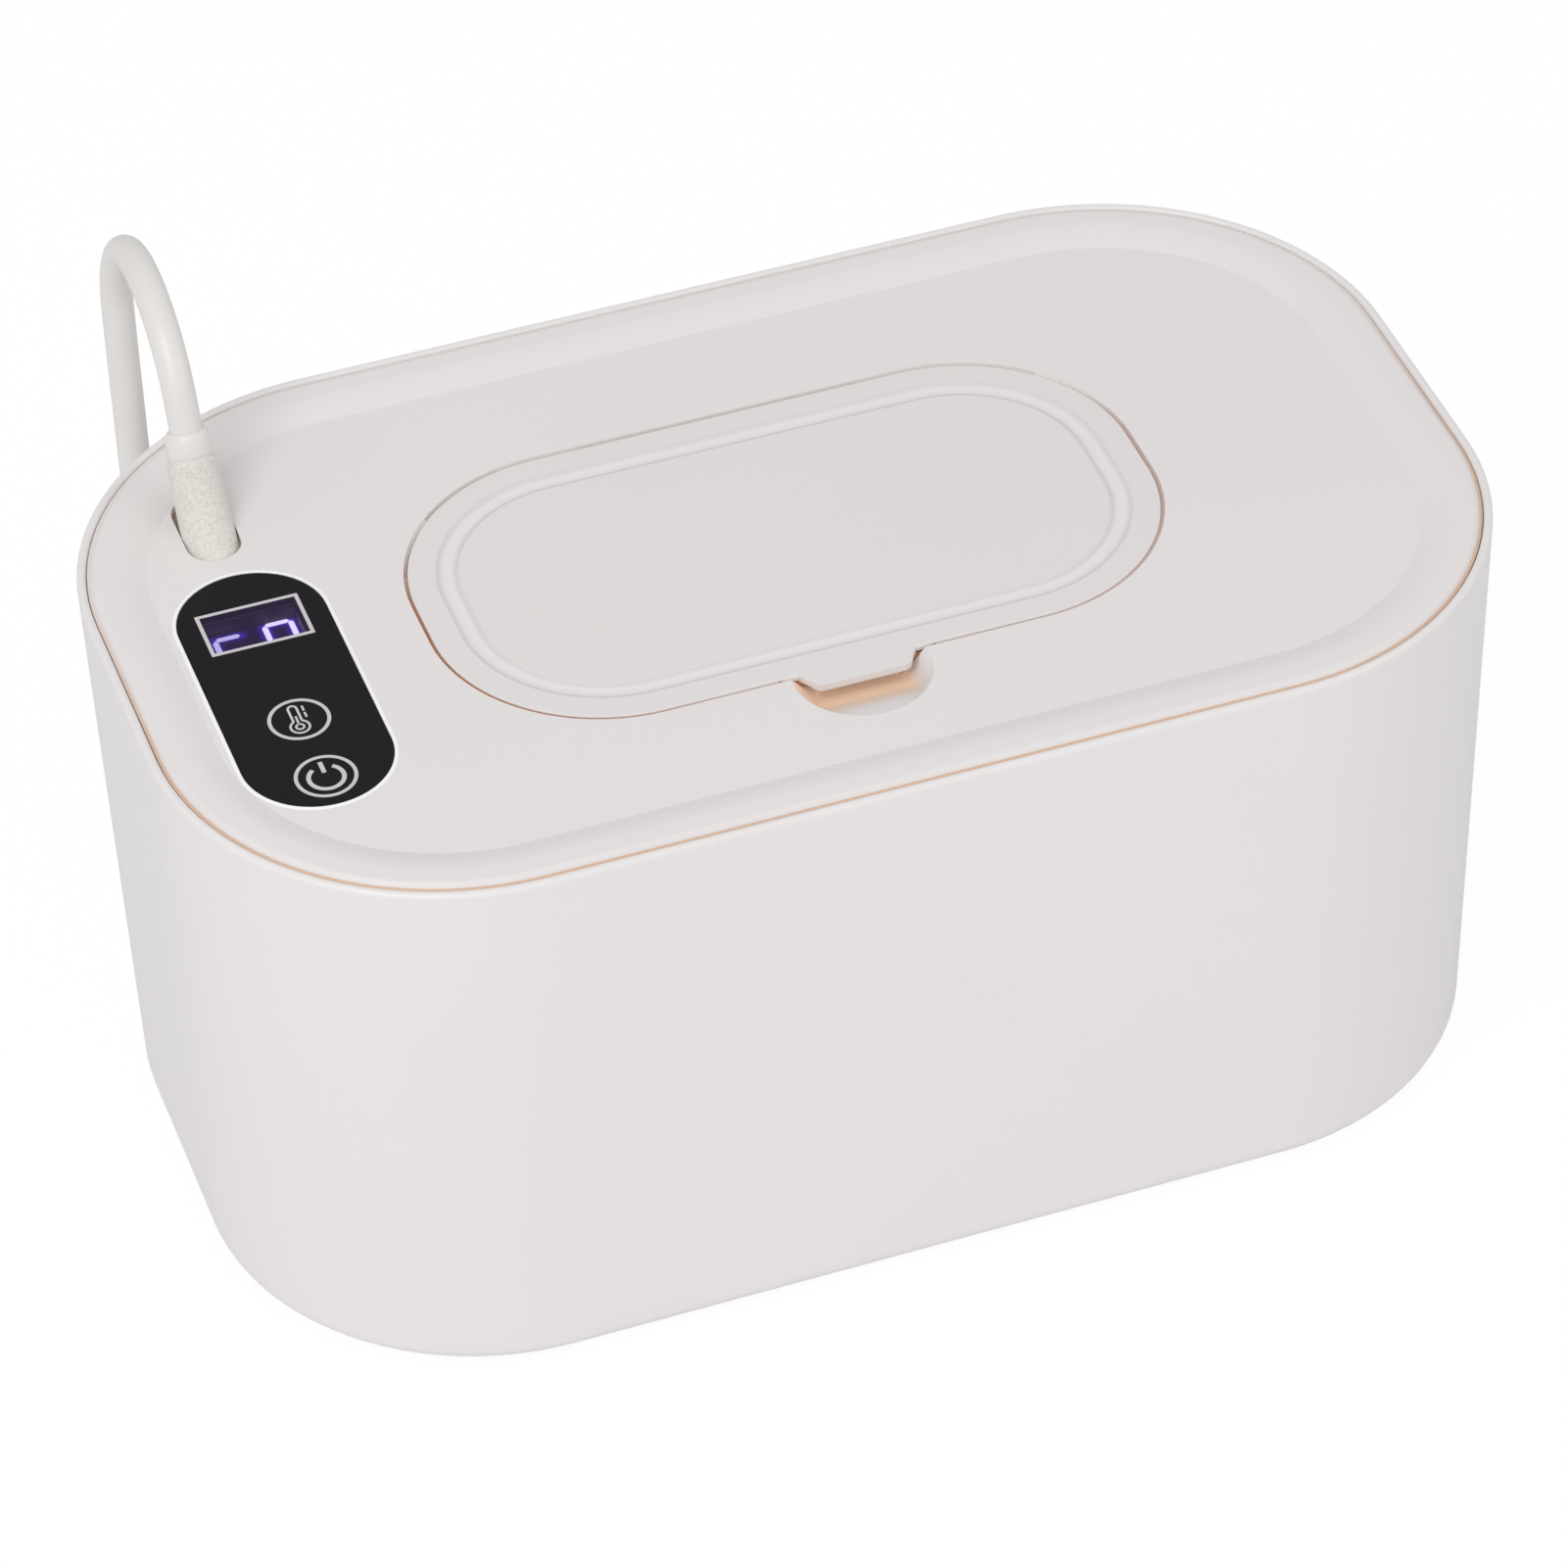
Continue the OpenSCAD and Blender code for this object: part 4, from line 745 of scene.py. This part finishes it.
# Ledges in the flap's gap, along the opening's outline less a margin: one low and all round but where the
# hinge arms pass, one high at the front and ends, clear of the notch, and narrower ones at the rear corners,
# where the flap swings back. A bead runs in the lid's gap to the tub. Their colours are painted shade of the
# gaps.
LEDGE_IN, LEDGE_W, FLANK_IN, FLANK_W = 0.35, 0.65, 0.25, 0.55
LOW_Z, HIGH_Z, LOW_T, HIGH_T = PANEL_Z - 1.6, PANEL_Z - 1.0, 0.5, 0.8
ARMS_X, TAB_X, HIGH_Y = 24, 12.5, 14


def opening(margin):
    """The opening's outline less a margin, from the middle of its rear round by the left, front and right."""
    outline = rounded(0, 0, 0, OPENING_W - margin, OPENING_D - margin, OPENING_R - margin / 2, 24)
    return [p[:2] for p in outline[25:] + outline[:25]]


edge, rear = opening(LEDGE_IN), (OPENING_D - LEDGE_IN) / 2
low = stroke([(-ARMS_X, rear)] + edge + [(ARMS_X, rear)], LEDGE_W, LOW_Z, LOW_T)
left = [p for p in edge if p[1] < HIGH_Y and p[0] < 0] + [(-TAB_X, -rear)]
right = [(TAB_X, -rear)] + [p for p in edge if p[1] < HIGH_Y and p[0] > 0]
high = [stroke(side, LEDGE_W, HIGH_Z, HIGH_T) for side in (left, right)]
flanks = [[p for p in opening(FLANK_IN) if 12 < p[1] < 26 and side * p[0] > 0] for side in (-1, 1)]
flanks = [stroke(side, FLANK_W, HIGH_Z, LOW_T) for side in flanks]
placed(solid("opening_ledge", [low] + high + flanks, ledge_painted_shade), "lid", "white_shell")
bead = [rounded(0, 0, z, RIM_W - 2 * u, RIM_D - 2 * u, RIM_R - u, 24)
        for u, z in ((2.2, 101.5), (1.62, 101.8), (1.62, 102.2), (1.8, 102.35), (2.2, 102.35))]
placed(solid("lid_gap_bead", [loft(bead, ring=True)], bead_painted_shade), "lid", "white_shell")


# Screws and feet --------------------------------------------------------------------------------

def screw_tree():
    """Geometry Nodes: a cross-recessed screw, head down, on each point of the base mesh."""
    tree = bpy.data.node_groups.new("screws", "GeometryNodeTree")
    face = tree.interface
    face.new_socket("Places", in_out="INPUT", socket_type="NodeSocketGeometry")
    for name in ("Head Diameter", "Head Height", "Shank Diameter", "Shank Length"):
        face.new_socket(name, in_out="INPUT", socket_type="NodeSocketFloat")
    face.new_socket("Finish", in_out="INPUT", socket_type="NodeSocketMaterial")
    face.new_socket("Screws", in_out="OUTPUT", socket_type="NodeSocketGeometry")
    given = add(tree, "NodeGroupInput").outputs

    def times(a, b):
        return maths(tree, a, b)

    def moved(mesh, z):
        to = add(tree, "ShaderNodeCombineXYZ", {"Z": z}).outputs["Vector"]
        there = {"Geometry": mesh.outputs["Mesh"], "Translation": to}
        return add(tree, "GeometryNodeTransform", there).outputs["Geometry"]

    radius = times(given["Head Diameter"], 0.5)
    rim_h, crown_h = times(given["Head Height"], 0.6), times(given["Head Height"], 0.4)
    crown = add(tree, "GeometryNodeMeshCone", {"Vertices": 32, "Radius Bottom": times(radius, 0.72),
                                               "Radius Top": radius, "Depth": crown_h})
    rim = add(tree, "GeometryNodeMeshCylinder", {"Vertices": 32, "Radius": radius, "Depth": rim_h})
    rim = moved(rim, times(rim_h, -0.5))
    crown = moved(crown, times(given["Head Height"], -1.0))
    blocks = []
    for long, wide in (("X", "Y"), ("Y", "X")):
        size = add(tree, "ShaderNodeCombineXYZ", {long: times(radius, 1.15), wide: times(radius, 0.26),
                                                  "Z": times(given["Head Height"], 1.1)}).outputs["Vector"]
        block = add(tree, "GeometryNodeMeshCube", {"Size": size})
        blocks.append(moved(block, times(given["Head Height"], -1.05)))
    head = add(tree, "GeometryNodeMeshBoolean", operation="UNION", solver="EXACT")
    for mesh in (rim, crown):
        tree.links.new(mesh, head.inputs["Mesh 2"])
    cut = add(tree, "GeometryNodeMeshBoolean", {"Mesh 1": head.outputs["Mesh"]}, operation="DIFFERENCE",
              solver="EXACT")
    for block in blocks:
        tree.links.new(block, cut.inputs["Mesh 2"])
    shank = add(tree, "GeometryNodeMeshCylinder", {
        "Vertices": 20, "Radius": times(given["Shank Diameter"], 0.5), "Depth": given["Shank Length"]})
    shank = moved(shank, times(given["Shank Length"], 0.49))
    whole = add(tree, "GeometryNodeJoinGeometry")
    for mesh in (cut.outputs["Mesh"], shank):
        tree.links.new(mesh, whole.inputs["Geometry"])
    spots = add(tree, "GeometryNodeMeshToPoints", {"Mesh": given["Places"]}).outputs["Points"]
    laid = add(tree, "GeometryNodeInstanceOnPoints", {"Points": spots,
                                                      "Instance": whole.outputs["Geometry"]})
    real = add(tree, "GeometryNodeRealizeInstances", {"Geometry": laid.outputs["Instances"]})
    done = add(tree, "GeometryNodeSetMaterial", {"Geometry": real.outputs["Geometry"],
                                                 "Material": given["Finish"]})
    out = add(tree, "NodeGroupOutput")
    tree.links.new(done.outputs["Geometry"], out.inputs["Screws"])
    return tree


screws = screw_tree()


def screw_set(name, places, z, head, shank, length, finish):
    """Screws at places on a level: the head's diameter and height, and the shank's diameter and length."""
    mesh = bpy.data.meshes.new(name)
    mesh.from_pydata([(x * MM, y * MM, z * MM) for x, y in places], [], [])
    obj = link(bpy.data.objects.new(name, mesh))
    mod = obj.modifiers.new("Screws", "NODES")
    mod.node_group = screws
    sizes = {"Head Diameter": head[0] * MM, "Head Height": head[1] * MM, "Shank Diameter": shank * MM,
             "Shank Length": length * MM, "Finish": finish}
    for item in screws.interface.items_tree:
        if item.name in sizes:
            mod[item.identifier] = sizes[item.name]
    return applied(obj)


LID_SCREWS = [(x, y) for x in (-72, 72) for y in (-48, 48)] + [(0, -52.5), (0, 52.5)]
FEET = [(x, y) for x in (-75, 75) for y in (-38, 38)]
TRAY_EARS = [(x, y) for x in (-66.85, 66.85) for y in (-20, 20)]
BOARD_HOLES = [(x, y) for x in (-92.4, -75.6) for y in (-22.425, -2.6)]
for name, body, places, z, head, shank, length in (
        ("lid_screws", "lid", LID_SCREWS, 79.9, (5.6, 1.6), 2.4, 10.5),
        ("tray_screws", "lid", TRAY_EARS, 92.3, (4.6, 1.4), 2.0, 5.5),
        ("board_screws", "lid", BOARD_HOLES, 88.8, (4.0, 1.3), 1.6, 5.1),
        ("liner_screws", "tub", FEET, 4.5, (5.6, 1.6), 2.4, 7.0)):
    placed(screw_set("cross_" + name, places, z, head, shank, length, steel_bright), body, "steel", name)

# A foot's profile, with two round grooves in its sole
foot = [(0.5, 2), (6.6, 2), (7, 1.7), (7, 0.5), (6.85, 0.14), (6.5, 0), (5.2, 0), (5.0, 0.25), (4.4, 0.25),
        (4.2, 0), (3.0, 0), (2.8, 0.25), (2.2, 0.25), (2.0, 0), (0.5, 0)]
placed(solid("ringed_feet", [turned(x, y, foot, 48) for x, y in FEET], rubber_grey), "tub", "grey_rubber",
       "foot_pads")


# Studio -----------------------------------------------------------------------------------------

def lamp(name, at, target, size, power):
    data = bpy.data.lights.new(name, "AREA")
    data.shape, data.size, data.energy = "DISK", size, power
    obj = link(bpy.data.objects.new(name, data))
    obj.location = at
    obj.rotation_euler = (Vector(target) - Vector(at)).to_track_quat("-Z", "Y").to_euler()


lamp("key_softbox", (-0.75, -0.72, 1.2), (0, 0, 0.05), 0.9, 8.0)
lamp("fill_softbox", (0.95, -0.8, 0.8), (0, 0, 0.05), 0.9, 2.0)

# Paper on the floor: to the eye nearly all plain white, with the rest of it left to take the soft shadow
PLAIN_WHITE, PLAIN_SHARE, FLOOR_HALF = 1.02, 0.92, 4000
floor_mat, tree = material("paper_sweep_white")
lit = add(tree, "ShaderNodeBsdfDiffuse", {"Color": linear("F4F4F4")})
bare = add(tree, "ShaderNodeEmission", {"Color": (1, 1, 1, 1), "Strength": PLAIN_WHITE})
rays = add(tree, "ShaderNodeLightPath")
share = maths(tree, rays.outputs["Is Camera Ray"], PLAIN_SHARE)
surface(tree, add(tree, "ShaderNodeMixShader", {0: share, 1: lit.outputs[0], 2: bare.outputs[0]}))
corners = [(x * FLOOR_HALF, y * FLOOR_HALF, 0) for x, y in ((-1, -1), (1, -1), (1, 1), (-1, 1))]
floor = solid("floor", [(corners, [(0, 1, 2, 3)])], floor_mat)

# The white room: full white behind the object, and less of it as the light from all round
ROOM_LIGHT = 0.62
world = bpy.data.worlds.new("studio")
bpy.context.scene.world = world
world.use_nodes = True
tree = world.node_tree
tree.nodes.clear()
rays = add(tree, "ShaderNodeLightPath")
level = add(tree, "ShaderNodeMapRange", {"Value": rays.outputs["Is Camera Ray"], "To Min": ROOM_LIGHT,
                                         "To Max": 1.0})
sky = add(tree, "ShaderNodeBackground", {"Color": (1, 1, 1, 1), "Strength": level.outputs["Result"]})
add(tree, "ShaderNodeOutputWorld", {"Surface": sky.outputs[0]})
bpy.context.scene.view_settings.view_transform = "Standard"
